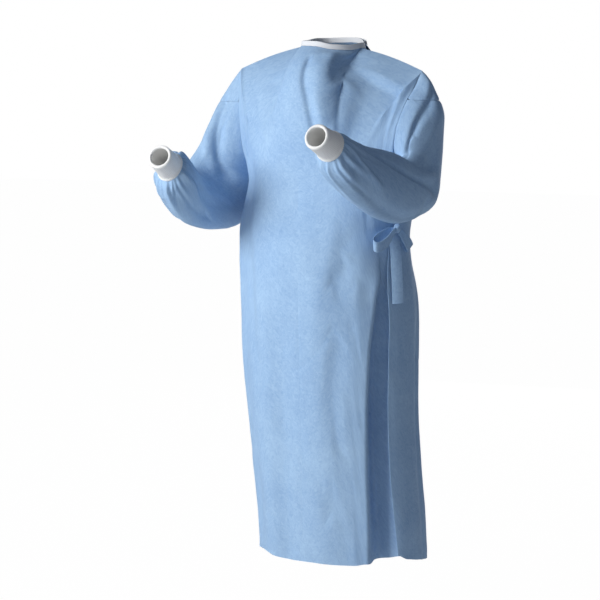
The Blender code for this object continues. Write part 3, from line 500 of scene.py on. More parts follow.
front = {
    "columns": 158, "upperRows": 84, "lowerRows": 172, "edge": 88, "grooveTurn": 42, "groove": 0.0007,
    "chestTurn": (0, 4, 8, 12, 16, 20, 24, 29, 34, 39, 44, 49, 54, 58, 60.5, 62, 63, 64, 66, 69, 73, 78, 83, 88),
    "hemTurn": (0, 3, 6, 9.5, 13, 16, 19.5, 23, 27, 30, 33, 35.5, 38.5, 41.2, 43.2, 44.6, 46, 48.6, 53, 59, 66,
                74, 81, 88),
    "share": (0, 0, 0, 0, 0, 0, 0, 0, 0, 0, 0, 0, 0, 0, 0.10, 0.36, 0.68, 0.93, 1.0, 0.86, 0.58, 0.27, 0.07, 0),
    "valleyZ": (-0.46, -0.52, -0.58, -0.70, -0.90, -1.05, -1.19),  # the deep valley beside the wrap-over's edge
    "valleyDepth": (0.000, 0.008, 0.026, 0.042, 0.052, 0.055, 0.052),
    "valleyEase": (0.0, 0.0, 0.25, 0.62, 0.80, 0.90, 1.0),
    "folds": (
        ("turn", "top", "foot", "half", "depth", "lean"),
        (-24, -0.09, -0.30, 7, -0.0040, 0),
        (-47, -0.20, -0.72, 9, 0.0090, 14),
        (-66, -0.34, -0.95, 9, -0.0070, 0),
        (-80, -0.50, -1.25, 8, 0.0060, 8),
        (-28, -0.52, -1.25, 12, -0.0060, 0),
        (-12, -0.60, -1.25, 9, 0.0050, 0),
        (12, -0.48, -1.25, 11, -0.0050, 0),
        (38, -0.40, -0.62, 9, 0.0050, -60),
    ),
    # turns and heights along each crease, its half width towards the wearer's right and left, and its depth
    "creases": (
        ("line", "before", "after", "deep", "sharp"),
        (((0, -0.03), (1, -0.08), (4, -0.13), (8, -0.20), (10, -0.26)), 0.006, 0.011, 0.0060, False),
        (((6, -0.04), (9, -0.11), (14, -0.20)), 0.010, 0.022, -0.0045, False),
        (((9, -0.02), (11, -0.05), (13, -0.088), (22, -0.104), (31, -0.098)), 0.020, 0.012, -0.0060, False),
        (((18, -0.03), (22, -0.055), (27, -0.075)), 0.020, 0.024, 0.0060, False),
        (((35, -0.08), (35, -0.12), (34, -0.17), (32, -0.22), (28, -0.28)), 0.026, 0.050, 0.0150, False),
        (((-46, -0.18), (-54, -0.24), (-62, -0.30), (-62, -0.36)), 0.012, 0.022, 0.0060, False),
        (((-44, -0.18), (-34, -0.215), (-24, -0.245)), 0.020, 0.009, 0.0045, False),
        (((-30, -0.08), (-22, -0.13), (-14, -0.19)), 0.012, 0.016, 0.0028, False),
        (((-8, -0.10), (-18, -0.17), (-30, -0.22)), 0.012, 0.016, 0.0024, False),
        (((-56, -0.25), (-62, -0.38), (-60, -0.50), (-50, -0.62), (-36, -0.70), (-30, -0.82)),
         0.022, 0.034, 0.0050, False),
        (((60, -0.475), (46, -0.50), (30, -0.53), (20, -0.575)), 0.018, 0.034, 0.0034, False),
        (((58, -0.46), (44, -0.47), (30, -0.485)), 0.012, 0.018, -0.0035, False),
        (((56, -0.553), (36, -0.560), (16, -0.572)), 0.005, 0.010, 0.0014, True),
        (((0, -0.300), (0, -0.41)), 0.0040, 0.0040, 0.0012, True),
        (((0, -0.52), (0, -1.17)), 0.0040, 0.0040, 0.0006, True),
        (((-60, -0.745), (-29, -0.747), (0, -0.743), (44, -0.745)), 0.0045, 0.0045, 0.0013, True),
        (((-50, -0.43), (0, -0.428), (40, -0.43)), 0.0045, 0.0045, 0.0006, True),
        (((44, -0.905), (62, -0.910)), 0.005, 0.005, 0.0016, True),
        (((-34, -1.10), (-16, -1.15), (-2, -1.19)), 0.006, 0.012, 0.0022, True),
        (((-20, -0.86), (8, -0.98), (20, -1.10)), 0.020, 0.030, 0.0035, False),
        (((30, -0.66), (22, -0.80), (26, -0.95)), 0.024, 0.030, 0.0035, False),
        (((-60, -0.90), (-48, -1.02), (-44, -1.16)), 0.020, 0.030, 0.0045, False),
    ),
}


def frontTurnAt(turn, z):
    hem = turn if turn < 0 else flow(front["chestTurn"], front["hemTurn"], turn)
    return turn + (hem - turn) * flow(front["valleyZ"], front["valleyEase"], z)


def frontPoints(turns, z):  # the front's level line at one height, with its valley
    at = np.array([float(frontTurnAt(t, z)) for t in turns])
    p = ringPoint(at, z)
    n = unit(p * np.array([1, 1, 0]))
    share = np.where(turns > 0, flow(front["chestTurn"], front["share"], turns), 0)
    return p - n * (flow(front["valleyZ"], front["valleyDepth"], z) * share)[:, None]


def frontLengths(turns):
    total = lengthsOf(frontPoints(turns, -0.35)) + lengthsOf(frontPoints(turns, -1.0))
    return total / total[-1]


def makeFront():
    edge = front["edge"] - math.degrees(gown["seamGap"] / gown["sideRadius"])
    turns = evenTurns(-edge, edge, front["columns"], frontLengths, (-42, -24, 0, 24, 42))
    feet = flow(hems["frontTurn"], hems["front"], turns)
    grid, at = hang(turns, "front", frontTurnAt, feet, front["upperRows"], front["lowerRows"])
    n = outward(grid)
    flat = clothMap(grid)
    share = np.where(turns > 0, flow(front["chestTurn"], front["share"], turns), 0)
    deep = flow(front["valleyZ"], front["valleyDepth"], grid[..., 2]) * share
    free = 1 - ease((turns - 50) / 12) * ease((-0.38 - grid[..., 2]) / 0.06)  # still where the wrap-over lies on it
    depth = foldDepth(front["folds"], at, grid[..., 2])
    held = ease(flat[..., 1] / np.interp(np.abs(turns), (0, 12, 20, 32), (0.014, 0.018, 0.040, 0.060)))  # even seams
    depth += free * held * relief(flat, at, grid[..., 2], gown["perDegree"], front["creases"])
    depth += free * gown["crumple"] * crumple(flat, 5) * ease(flat[..., 1] / 0.03)
    groove = (np.abs(turns) > front["grooveTurn"]) * np.where(turns > 0, front["groove"], 0.0)  # at the left armhole
    depth += groove * np.exp(-(flat[..., 1] / 0.005)**2)
    grid = grid - n * depth[..., None] - unit(n * np.array([1, 1, 0])) * deep[..., None]
    grid[0, :, 1] -= gown["shoulderGap"]
    return grid, turns, flat


backFolds = (
    ("turn", "top", "foot", "half", "depth", "lean"),
    (107, -0.60, -1.25, 7, 0.0060, 0),
    (119, -0.48, -1.25, 8, -0.0080, 2),
    (131, -0.40, -1.00, 9, 0.0100, -8),
    (150, -0.30, -1.25, 10, -0.0060, 0),
    (172, -0.40, -1.25, 10, 0.0090, 6),
    (196, -0.24, -1.25, 11, -0.0070, 0),
    (219, -0.38, -1.25, 10, 0.0100, -6),
    (243, -0.50, -1.25, 9, -0.0060, 4),
)
backCreases = (  # as the front's, on the hidden side
    ("line", "before", "after", "deep", "sharp"),
    (((150, -0.12), (142, -0.19), (138, -0.27)), 0.014, 0.024, 0.0060, False),
    (((216, -0.11), (222, -0.19), (226, -0.27)), 0.024, 0.014, 0.0065, False),
    (((196, -0.07), (192, -0.16), (196, -0.26)), 0.014, 0.020, -0.0035, False),
    (((170, -0.08), (176, -0.18), (172, -0.30)), 0.014, 0.020, 0.0035, False),
    (((236, -0.34), (214, -0.40), (196, -0.44)), 0.016, 0.026, 0.0050, False),
    (((120, -0.40), (140, -0.46), (156, -0.48)), 0.016, 0.026, 0.0040, False),
    (((150, -0.58), (158, -0.74), (154, -0.92)), 0.026, 0.034, 0.0050, False),
    (((206, -0.60), (212, -0.78), (204, -0.98)), 0.026, 0.034, 0.0060, False),
    (((232, -0.78), (238, -0.95), (234, -1.12)), 0.020, 0.030, 0.0050, False),
    (((112, -0.745), (180, -0.743), (250, -0.745)), 0.0045, 0.0045, 0.0012, True),
    (((180, -0.44), (180, -1.17)), 0.0040, 0.0040, 0.0008, True),
)
underLayer = {"columns": 62, "upperRows": 40, "lowerRows": 90}
wrapOver = {
    "columns": 150, "upperRows": 64, "lowerRows": 160,
    "edgeTurn": (66, 67.5, 70, 74, 80, 88, 98, 110, 124, 138, 150, 160, 168),
    "edgeZ": (-0.565, -0.528, -0.490, -0.448, -0.412, -0.386, -0.360, -0.328, -0.280, -0.216, -0.148, -0.078, 0.004),
    "fallZ": (-0.44, -0.565, -0.72, -0.97, -1.19), "fallTurn": (0, 0, -1.5, -2.5, 0.5),
}


def levelLengths(turns):
    total = lengthsOf(ringPoint(turns, -0.35)) + lengthsOf(ringPoint(turns, -1.0))
    return total / total[-1]


def plainTurnAt(turn, z):
    return turn + 0 * z


def makeUnderLayer():
    first = 88 + math.degrees(gown["seamGap"] / gown["sideRadius"])
    turns = evenTurns(first, gown["underEnd"], underLayer["columns"], levelLengths, (138, 156, 180))
    feet = np.full(len(turns), gown["hem"] + 0.012)
    grid, at = hang(turns, "back", plainTurnAt, feet, underLayer["upperRows"], underLayer["lowerRows"])
    flat = clothMap(grid)
    depth = foldDepth(backFolds, at, grid[..., 2]) + relief(flat, at, grid[..., 2], gown["perDegree"], backCreases)
    grid = grid - outward(grid) * (depth * ease(flat[..., 1] / 0.05))[..., None]
    grid[0, :, 1] += gown["shoulderGap"]
    return grid, turns, flat


def wrapTurnAt(turn, z):
    return turn + float(ease((110 - turn) / 44)) * flow(wrapOver["fallZ"], wrapOver["fallTurn"], z)


def wrapOut(turn, z):  # how far the wrap-over lies out from the plain back
    lap = gown["lap"] + (gown["neckLap"] - gown["lap"]) * ease((z + 0.20) / 0.18)
    joined = 204 + 34 * ease((-0.15 - z) / 0.20)
    return lap * ease((joined - turn) / (joined - gown["underEnd"]))


def makeWrapOver():
    last = 272 - math.degrees(gown["seamGap"] / gown["wrapRadius"])
    turns = evenTurns(66, last, wrapOver["columns"], levelLengths, (138, 156, 168, 180, 204, 222))
    feet = flow(hems["wrapTurn"], hems["wrap"], turns)
    grid, at = hang(turns, "back", wrapTurnAt, feet, wrapOver["upperRows"], wrapOver["lowerRows"])
    z = grid[..., 2].copy()
    flat = clothMap(grid)
    uneven = gown["crumple"] * crumple(flat, 21)
    loose = np.clip(uneven, -gown["crumple"], 0.0007) * ease((turns - 64) / 6)
    beyond = ease((turns - 192) / 14)  # past the under layer the cloth is free both ways
    loose = loose * (1 - beyond) + uneven * beyond * (1 - ease((turns - 264) / 8))
    depth = foldDepth(backFolds, at, z) + relief(flat, at, z, gown["perDegree"], backCreases) + loose
    grid = grid - outward(grid) * (depth * ease(flat[..., 1] / 0.05))[..., None]
    level = np.ones_like(grid)
    level[..., 2] = 1 - ease((z + 0.10) / 0.09)
    out = wrapOut(turns[None, :] + 0 * z, z)
    grid = grid + unit(outward(grid) * level) * out[..., None]
    grid[0, :, 1] += gown["shoulderGap"]
    cut = np.zeros_like(grid)
    cutFlat = np.zeros_like(flat)
    for j, turn in enumerate(turns):
        line = grid[:, j]
        length = lengthsOf(line)
        begin = 0.0
        if turn < wrapOver["edgeTurn"][-1]:
            top = float(flow(wrapOver["edgeTurn"], wrapOver["edgeZ"], turn))
            begin = float(np.interp(-top, -z[:, j], length))
        at = np.linspace(begin, length[-1], len(line))
        cut[:, j] = along(line, at)
        cutFlat[:, j, 0], cutFlat[:, j, 1] = flat[:, j, 0], at
    return cut, turns, cutFlat


def shoulderShare(fromMiddle):  # little is turned in round the neck, all of it along the shoulder
    return 0.10 + 0.90 * ease((fromMiddle - gown["neckHalf"]) / 6)


def panelPiece(name, grid, flat, top, left, right):
    out, lay = turnIn(grid, flat, top=top, left=left, right=right, n=panelOutward(grid))
    return clothPiece(name, out, blue, flat=lay)


frontGrid, frontTurns, frontFlat = makeFront()
underGrid, underTurns, underFlat = makeUnderLayer()
wrapGrid, wrapTurns, wrapFlat = makeWrapOver()
frontPiece = panelPiece("frontPanel", frontGrid, frontFlat, shoulderShare(np.abs(frontTurns)), 1.0, 1.0)
underPiece = panelPiece("leftBackPanel", underGrid, underFlat, shoulderShare(180 - underTurns), 1.0, 0.0)
wrapPiece = panelPiece("rightBackPanel", wrapGrid, wrapFlat, shoulderShare(wrapTurns - 180), 0.10, 1.0)
for piece, node, flat, area in (
        (frontPiece, "front", (0.657, 1.257), 0.70),
        (underPiece, "back_left", (0.362, 1.218), 0.38),
        (wrapPiece, "back_right", (0.718, 1.242), 0.70)):
    carry(piece, node)
print("body panels made")

sleeves = {
    "around": 168, "fineRows": 400, "rounding": 40, "perRing": 0.03, "crumple": 0.0026,
    "rows": 128, "capRows": 20, "capSeam": -0.135, "capGap": 0.0012,
    "bulge": {"left": (0.022, 0.022), "right": (0.016, 0.009)},  # out and up
    "flat": {"left": (0.456, 0.652), "right": (0.516, 0.750)}, "area": {"left": 0.166, "right": 0.223},
    "capFlat": {"left": (0.144, 0.088), "right": (0.182, 0.109)}, "capArea": {"left": 0.0076, "right": 0.0112},
    "pucker": {"left": 0.0013, "right": 0.0004},
    "gathers": ((9, 0.4, 0.0011), (14, 1.3, 0.0010), (23, 2.2, 0.0004)),  # how many, where they start, how deep
    "left": {
        "foreIn": (0.094, 0.098, 0.103, 0.107, 0.112, 0.128, 0.150, 0.196, 0.243, 0.290, 0.316, 0.331),
        "zIn": (-0.236, -0.242, -0.248, -0.252, -0.255, -0.253, -0.248, -0.2395, -0.2330, -0.2170, -0.2055, -0.2030),
        "foreOut": (-0.058, -0.048, -0.030, -0.006, 0.030, 0.085, 0.135, 0.205, 0.278, 0.325, 0.343, 0.351),
        "zOut": (-0.246, -0.298, -0.343, -0.370, -0.387, -0.401, -0.403, -0.384, -0.346, -0.310, -0.287, -0.261),
        "sideIn": (0.205, 0.206, 0.206, 0.206, 0.205, 0.199, 0.192, 0.179, 0.170, 0.162, 0.157, 0.1665),
        "sideOut": (0.274, 0.276, 0.282, 0.285, 0.285, 0.282, 0.278, 0.270, 0.260, 0.248, 0.236, 0.2275),
        "drop": (0.066, 0.042, 0.022, 0.009, 0, 0, 0, 0, 0, 0, 0, 0),
        # shares round the sleeve and rings down it along each crease, then as on the front panel
        "creases": (
            ("line", "before", "after", "deep", "sharp"),
            (((0.54, 1.5), (0.45, 1.8), (0.37, 2.2), (0.30, 3.0), (0.26, 3.9)), 0.012, 0.026, 0.0090, False),
            (((0.60, 2.2), (0.48, 3.2), (0.39, 4.5)), 0.022, 0.016, -0.0045, False),
            (((0.20, 4.6), (0.27, 6.3), (0.34, 6.8), (0.43, 6.3), (0.54, 6.0)), 0.012, 0.020, 0.0100, False),
            (((0.34, 13.4), (0.39, 11.6), (0.45, 9.6), (0.53, 7.6), (0.61, 6.8)), 0.010, 0.022, 0.0070, False),
            (((0.43, 14.2), (0.49, 13.0), (0.56, 11.4)), 0.014, 0.008, -0.0045, False),
            (((0.62, 13.0), (0.66, 10.8), (0.68, 8.6)), 0.014, 0.022, 0.0050, False),
            (((0.54, 8.0), (0.62, 8.6), (0.70, 8.0)), 0.010, 0.018, 0.0045, False),
            (((0.96, 5.0), (0.90, 8.0), (0.92, 11.0)), 0.016, 0.022, 0.0050, False),
            (((0.10, 2.0), (0.04, 4.0), (0.98, 6.0)), 0.014, 0.020, 0.0050, False),
            (((0.74, 1.0), (0.68, 2.6), (0.70, 4.4)), 0.016, 0.022, 0.0060, False),
        ),
    },
    "right": {
        "foreIn": (0.140, 0.147, 0.156, 0.166, 0.176, 0.188, 0.202, 0.230, 0.262, 0.298, 0.322, 0.335),
        "zIn": (-0.245, -0.256, -0.268, -0.281, -0.291, -0.298, -0.300, -0.292, -0.275, -0.257, -0.247, -0.254),
        "foreOut": (-0.050, -0.052, -0.044, -0.020, 0.028, 0.094, 0.163, 0.235, 0.290, 0.333, 0.356, 0.361),
        "zOut": (-0.256, -0.340, -0.398, -0.434, -0.444, -0.442, -0.433, -0.417, -0.389, -0.359, -0.334, -0.310),
        "sideIn": (0.213, 0.227, 0.239, 0.244, 0.240, 0.230, 0.216, 0.196, 0.182, 0.174, 0.176, 0.184),
        "sideOut": (0.337, 0.345, 0.349, 0.350, 0.349, 0.345, 0.333, 0.314, 0.297, 0.279, 0.262, 0.246),
        "drop": (0.062, 0.042, 0.022, 0.008, 0, 0, 0, 0, 0, 0, 0, 0),
        "creases": (
            ("line", "before", "after", "deep", "sharp"),
            (((0.44, 0.9), (0.38, 1.5), (0.30, 2.2), (0.22, 3.0), (0.13, 4.6), (0.05, 6.0)),
             0.012, 0.022, 0.0100, False),
            (((0.40, 0.5), (0.33, 1.1), (0.27, 2.0), (0.19, 2.8)), 0.008, 0.012, 0.0045, False),
            (((0.36, 2.6), (0.28, 3.4), (0.20, 4.6)), 0.012, 0.016, -0.0045, False),
            (((0.46, 2.4), (0.40, 3.4), (0.34, 4.8)), 0.014, 0.022, 0.0050, False),
            (((0.30, 14.0), (0.40, 12.4), (0.52, 10.4)), 0.012, 0.018, 0.0050, False),
            (((0.80, 14.0), (0.86, 12.4), (0.90, 10.2)), 0.012, 0.018, 0.0055, False),
            (((0.97, 12.6), (0.98, 10.0), (0.99, 7.6)), 0.014, 0.020, 0.0050, False),
            (((0.10, 13.6), (0.08, 11.0), (0.10, 8.6)), 0.012, 0.016, 0.0040, False),
            (((0.64, 13.0), (0.68, 10.6), (0.70, 8.0)), 0.016, 0.022, 0.0050, False),
            (((0.74, 1.0), (0.68, 2.6), (0.70, 4.4)), 0.016, 0.022, 0.0060, False),
        ),
    },
}


def sleeveRings(side):
    table = sleeves[side]
    sign = 1 if side == "left" else -1
    count = sleeves["around"]
    a = 2 * np.pi * np.arange(count) / count
    body = []
    for k in range(len(table["zIn"])):
        inside = np.array([0, -table["foreIn"][k], table["zIn"][k]])
        outside = np.array([0, -table["foreOut"][k], table["zOut"][k]])
        near, far = table["sideIn"][k], table["sideOut"][k]
        ring = (inside + outside) / 2 + np.sin(a)[:, None] * (inside - outside) / 2
        ring[:, 0] = sign * ((near + far) / 2 - (far - near) / 2 * np.cos(a))
        ring[:, 2] -= table["drop"][k] * ((1 + np.cos(a)) / 2)**2.5
        body.append(ring)
    start = armholePoint(side, np.arange(count) / count)
    start = start + unit(body[0] - start) * 0.0004 + np.array([sign * 0.0008, 0, 0])
    steps = []
    top = (0.5 - 0.5 * np.cos(a))**1.5
    out, up = sleeves["bulge"][side]
    for w in (0.22, 0.45, 0.70):
        swell = math.sin(math.pi * w) * top[:, None] * np.array([sign * out, 0, up])
        steps.append(start + (body[0] - start) * w + swell)
    return np.array([start, *steps, *body])


def makeSleeve(side):
    coarse = sleeveRings(side)
    spans = len(coarse) - 1
    k = np.linspace(0, spans, sleeves["fineRows"])[:, None]  # place from the armhole to the cuff, in rings
    low = np.minimum(k[:, 0].astype(int), spans - 1)
    part = (k[:, 0] - low)[:, None, None]
    straight = coarse[low] * (1 - part) + coarse[low + 1] * part
    fine = 0.35 * through(coarse, np.linspace(0, 1, sleeves["fineRows"])) + 0.65 * straight
    for _ in range(sleeves["rounding"]):  # rounds the corners without passing the rings
        fine[1:-1] = (fine[:-2] + 2 * fine[1:-1] + fine[2:]) / 4
    a = 2 * np.pi * np.arange(sleeves["around"])[None, :] / sleeves["around"]
    if side == "right":
        fine, a = fine[:, ::-1], a[:, ::-1]
    flat = clothMap(fine)
    around = flat[0, -1, 0] + np.linalg.norm(fine[:, 0] - fine[:, -1], axis=1).mean()
    nearCuff = ease((k - 11.2) / 2.6) * (1 - 0.8 * ease((k - 14.2) / 0.8))
    nearBend = np.exp(-((k - 8) / 2.2)**2)
    inside = np.maximum(0, np.sin(a))**2
    wave = 0.0022 * nearBend * np.cos(3 * a + 0.9 * k) * (1 - inside)
    for many, phase, deep in sleeves["gathers"]:
        wave = wave + 1.5 * nearCuff * deep * np.cos(many * a + phase + 0.12 * k)
    share = a / (2 * np.pi) + 0 * k
    step = sleeves["perRing"] * (k + 0 * a)
    rows = sleeves[side]["creases"]
    rows = rows[:1] + tuple((tuple((p, sleeves["perRing"] * q) for p, q in row[0]),) + row[1:] for row in rows[1:])
    still = ease(k / 1.2) * (1 - ease((k - 13.6) / 1.2))
    depth = relief(flat, share, step, 0.5, rows, around) * ease(k / 0.6) * (1 - ease((k - 14.4) / 0.6))
    depth = depth + sleeves["crumple"] * crumple(flat, 41 if side == "left" else 61, around) * still
    capped = fine[:1, :, 2] > sleeves["capSeam"] + 0.012
    fromCap = (fine[..., 2] - sleeves["capSeam"]) / 0.0035
    groove = np.exp(-(flat[..., 1] / 0.005)**2) + 1.5 * capped * np.exp(-fromCap**2)
    depth = depth + sleeves["pucker"][side] * groove
    fine = fine + outward(fine, wrap=True) * (wave - depth)[..., None]
    sleeve = np.zeros((sleeves["rows"], fine.shape[1], 3))
    cap, inCap = [], []
    for j in range(fine.shape[1]):
        line = fine[:, j]
        length = lengthsOf(line)
        begin = 0.0
        if line[0, 2] > sleeves["capSeam"] + 0.001:
            below = int(np.argmax(line[:, 2] < sleeves["capSeam"]))
            f = (line[below - 1, 2] - sleeves["capSeam"]) / (line[below - 1, 2] - line[below, 2])
            begin = length[below - 1] + f * (length[below] - length[below - 1])
            cap.append(along(line, np.linspace(0, begin - sleeves["capGap"] / 2, sleeves["capRows"])))
            inCap.append(j)
            begin += sleeves["capGap"] / 2
        sleeve[:, j] = along(line, np.linspace(begin, length[-1], sleeves["rows"]))
    if inCap[-1] - inCap[0] > len(inCap):
        split = int(np.argmax(np.diff(inCap))) + 1
        cap = cap[split:] + cap[:split]
    cap = np.array(cap).transpose(1, 0, 2)
    n = outward(sleeve, wrap=True)
    sleeve, sleeveFlat = turnIn(sleeve, clothMap(sleeve), top=np.ones(sleeve.shape[1]), n=n)
    tips = np.minimum(np.arange(cap.shape[1]), np.arange(cap.shape[1])[::-1])
    seam = ease(tips / 10)
    cap, capFlat = turnIn(cap, clothMap(cap), top=seam, foot=seam)
    return sleeve, sleeveFlat, cap, capFlat


for side in ("left", "right"):
    sleeve, sleeveFlat, cap, capFlat = makeSleeve(side)
    piece = clothPiece(side + "Sleeve", sleeve, blue, wrap=True, flat=sleeveFlat)
    carry(piece, "sleeve_" + side)
    piece = clothPiece(side + "SleeveCap", cap, blue, flat=capFlat)
    carry(piece, "sleeve_cap_" + side)
print("sleeves made")

cuff = {
    "way": (0.0, 0.10, 0.22, 0.45, 0.75, 1.0), "radius": (0.0318, 0.0306, 0.0298, 0.0288, 0.0278, 0.0270),
    "gap": 0.0017, "ribs": 52, "ribDepth": 0.00030, "perRib": 6, "rows": 70, "wall": 0.0009,
    # the knit runs from the sleeve to the mouth, rolls in and goes back inside: way along it and how far in it lies
    "profile": ((-0.045, -0.0014), (-0.02, -0.0013), (0.02, -0.0006), (0.07, 0.0004), (0.2, 0.0005), (0.5, 0.0005),
                (0.8, 0.0005), (0.92, 0.0004), (0.965, 0.0009), (0.992, 0.0024), (1.0, 0.0040), (0.985, 0.0056),
                (0.95, 0.0066), (0.88, 0.0064), (0.75, 0.0048), (0.5, 0.0034), (0.2, 0.0029), (-0.1, 0.0034),
                (-0.35, 0.0060)),
    "mouth": {"left": (0.202, -0.400, -0.212), "right": (-0.202, -0.400, -0.258)},
}


def cuffRing(way, inset, rib, base, plane, mouth, axis, a):
    lie = np.clip(way, 0, 1)[:, None]
    facing = unit(plane * (1 - lie) + axis * lie)
    centre = base + plane * cuff["gap"] + (mouth - base) * way[:, None]
    u = unit(np.cross(facing, [0, 0, 1.0]))
    v = np.cross(facing, u)
    radius = (flow(cuff["way"], cuff["radius"], way) - inset + rib)[:, None]
    return centre + radius * (np.cos(a)[:, None] * u + np.sin(a)[:, None] * v)


def makeCuff(side):
    table = sleeves[side]
    sign = 1 if side == "left" else -1
    inside = np.array([0, -table["foreIn"][-1], table["zIn"][-1]])
    outside = np.array([0, -table["foreOut"][-1], table["zOut"][-1]])
    base = (inside + outside) / 2
    base[0] = sign * (table["sideIn"][-1] + table["sideOut"][-1]) / 2
    mouth = np.array(cuff["mouth"][side])
    axis = unit(mouth - base)
    plane = unit(np.cross(inside - outside, [1.0, 0, 0]))
    plane = plane if plane @ axis > 0 else -plane
    count = cuff["ribs"] * cuff["perRib"]
    a = 2 * np.pi * np.arange(count) / count
    rib = np.cos(cuff["ribs"] * a)
    grid = []
    for way, inset in through(np.array(cuff["profile"]), np.linspace(0, 1, cuff["rows"])):
        edge = 0.010 * ease((0.05 - way) / 0.1) * (inset < 0.002)
        way = way - edge * np.cos(3 * a + 0.8) - 0.6 * edge * np.cos(5 * a)
        deep = cuff["ribDepth"] * (1 if abs(inset - 0.004) > 0.003 else 0.3)
        grid.append(cuffRing(way, inset, deep * rib, base, plane, mouth, axis, a))
    return np.array(grid)


for side in ("left", "right"):
    piece = clothPiece(side + "Cuff", makeCuff(side), whiteKnit, wrap=True, thickness=cuff["wall"])
    carry(piece, "cuff_" + side)
print("cuffs made")

binding = {
    "wall": 0.0006, "rise": 0.0122, "lean": 0.0030, "columns": 420, "rows": 22,
    # a strip folded over the neck edge, up the outside and down the inside: how high and how far out it lies
    "profile": ((0.0007, 0.0016), (0.0016, 0.0011), (0.005, 0.0010), (0.0095, 0.0011), (0.0115, 0.0008),
                (0.0121, 0.0), (0.0115, -0.0008), (0.0095, -0.0011), (0.005, -0.0010), (0.0012, -0.0010)),
}


def neckLine():
    inner = underGrid[0][::-1][(180 - underTurns[::-1]) <= gown["neckHalf"]]
    middle = frontGrid[0][::-1][np.abs(frontTurns[::-1]) <= gown["neckHalf"]]
    outer = wrapGrid[0][::-1][(wrapTurns[::-1] >= 168) & (wrapTurns[::-1] <= 180 + gown["neckHalf"])]
    line = np.concatenate([inner, middle, outer])
    length = lengthsOf(line)
    coarse = along(line, np.linspace(0, length[-1], 70))
    return through(coarse, np.linspace(0, 1, binding["columns"]))


def makeBinding():
    line = neckLine()
    inward = unit(-line * np.array([1, 1, 0]))
    grid = []
    for rise, out in through(np.array(binding["profile"]), np.linspace(0, 1, binding["rows"])):
        grid.append(line + inward * (binding["lean"] * rise / binding["rise"] - out) + np.array([0, 0, rise]))
    return np.array(grid)[::-1]


piece = clothPiece("neckBinding", makeBinding(), whiteBinding, thickness=binding["wall"])
carry(piece, "neck_binding")
print("neck binding made")

tie = {
    "width": 0.025, "wall": 0.0009, "knotTurn": 78.0, "knotZ": -0.419, "knotAway": 0.0089,
    "knotSize": (0.0095, 0.0080, 0.0105),
    "loopFront": {
        "along": -1.0, "up": -0.20, "droop": -0.005, "lean": 0.75,
        "reach": (0.0101, 0.022, 0.040, 0.060, 0.075, 0.0800, 0.075, 0.060, 0.040, 0.020),
        "away": (0.0110, 0.0165, 0.0215, 0.0225, 0.0190, 0.0125, 0.0070, 0.0050, 0.0046, 0.0046),
        "half": (0.0060, 0.0090, 0.0115, 0.0120, 0.0120, 0.0120, 0.0115, 0.0110, 0.0100, 0.0075),
    },
    "loopBack": {
        "along": 0.78, "up": -0.78, "droop": -0.002, "lean": 0.25,
        "reach": (0.0112, 0.021, 0.033, 0.047, 0.056, 0.0595, 0.056, 0.047, 0.033, 0.021),
        "away": (0.0110, 0.0165, 0.0215, 0.0230, 0.0200, 0.0145, 0.0095, 0.0075, 0.0070, 0.0062),
        "half": (0.0060, 0.0085, 0.0110, 0.0115, 0.0115, 0.0115, 0.0110, 0.0110, 0.0100, 0.0075),
    },
    "tailLong": {
        "turn": (77.6, 77.2, 76.2, 75.0, 74.0, 73.3, 72.8),
        "z": (-0.4306, -0.446, -0.470, -0.500, -0.532, -0.562, -0.590),
        "away": (0.0028, 0.0029, 0.0031, 0.0034, 0.0032, 0.0022, 0.0018),
        "curl": 0.0014, "twist": 0.0100,
    },
    "tailShort": {
        "turn": (81.8, 82.0, 81.8, 81.4, 81.0),
        "z": (-0.4306, -0.450, -0.474, -0.499, -0.522),
        "away": (0.0011, 0.0011, 0.0012, 0.0012, 0.0012),
        "curl": 0.0008, "twist": 0.0,
    },
}


def wrapSurface(turn, z):  # point on the outside of the wrap-over, and the direction out
    fade = float(ease((110 - turn) / 44))
    p = ringPoint(turn, z)
    n = unit(np.cross(ringPoint(turn, z - 0.004) - ringPoint(turn, z + 0.004),
                      ringPoint(turn + 0.5, z) - ringPoint(turn - 0.5, z)))
    base = turn - fade * flow(wrapOver["fallZ"], wrapOver["fallTurn"], z)
    depth = foldDepth(backFolds, np.array([float(base)]), np.array([float(z)]))[0]
    return p + n * (wrapOut(turn, z) + 0.0006 - depth), n


def makeTail(table):
    steps = np.linspace(0, 1, 40)
    turn, z, away = (through(table[key], steps) for key in ("turn", "z", "away"))
    across = np.linspace(-0.5, 0.5, 9)
    grid = []
    for i in range(len(steps)):
        p, n = wrapSurface(turn[i], z[i])
        ahead, _ = wrapSurface(turn[i] + 0.5, z[i])
        line = unit(ahead - p)
        bow = (table["curl"] * (1 - (2 * across)**2) + table["twist"] * (0.5 + across)) * min(1, steps[i] / 0.4)
        grid.append(p + n * away[i] + np.outer(across * tie["width"], line) + np.outer(bow, n))
    return np.array(grid)


def knotFrame():
    knot, n = wrapSurface(tie["knotTurn"], tie["knotZ"])
    ahead, _ = wrapSurface(tie["knotTurn"] + 0.5, tie["knotZ"])
    line = unit(ahead - knot)
    up = unit(np.cross(n, line))
    return knot, n, line, (up if up[2] > 0 else -up)


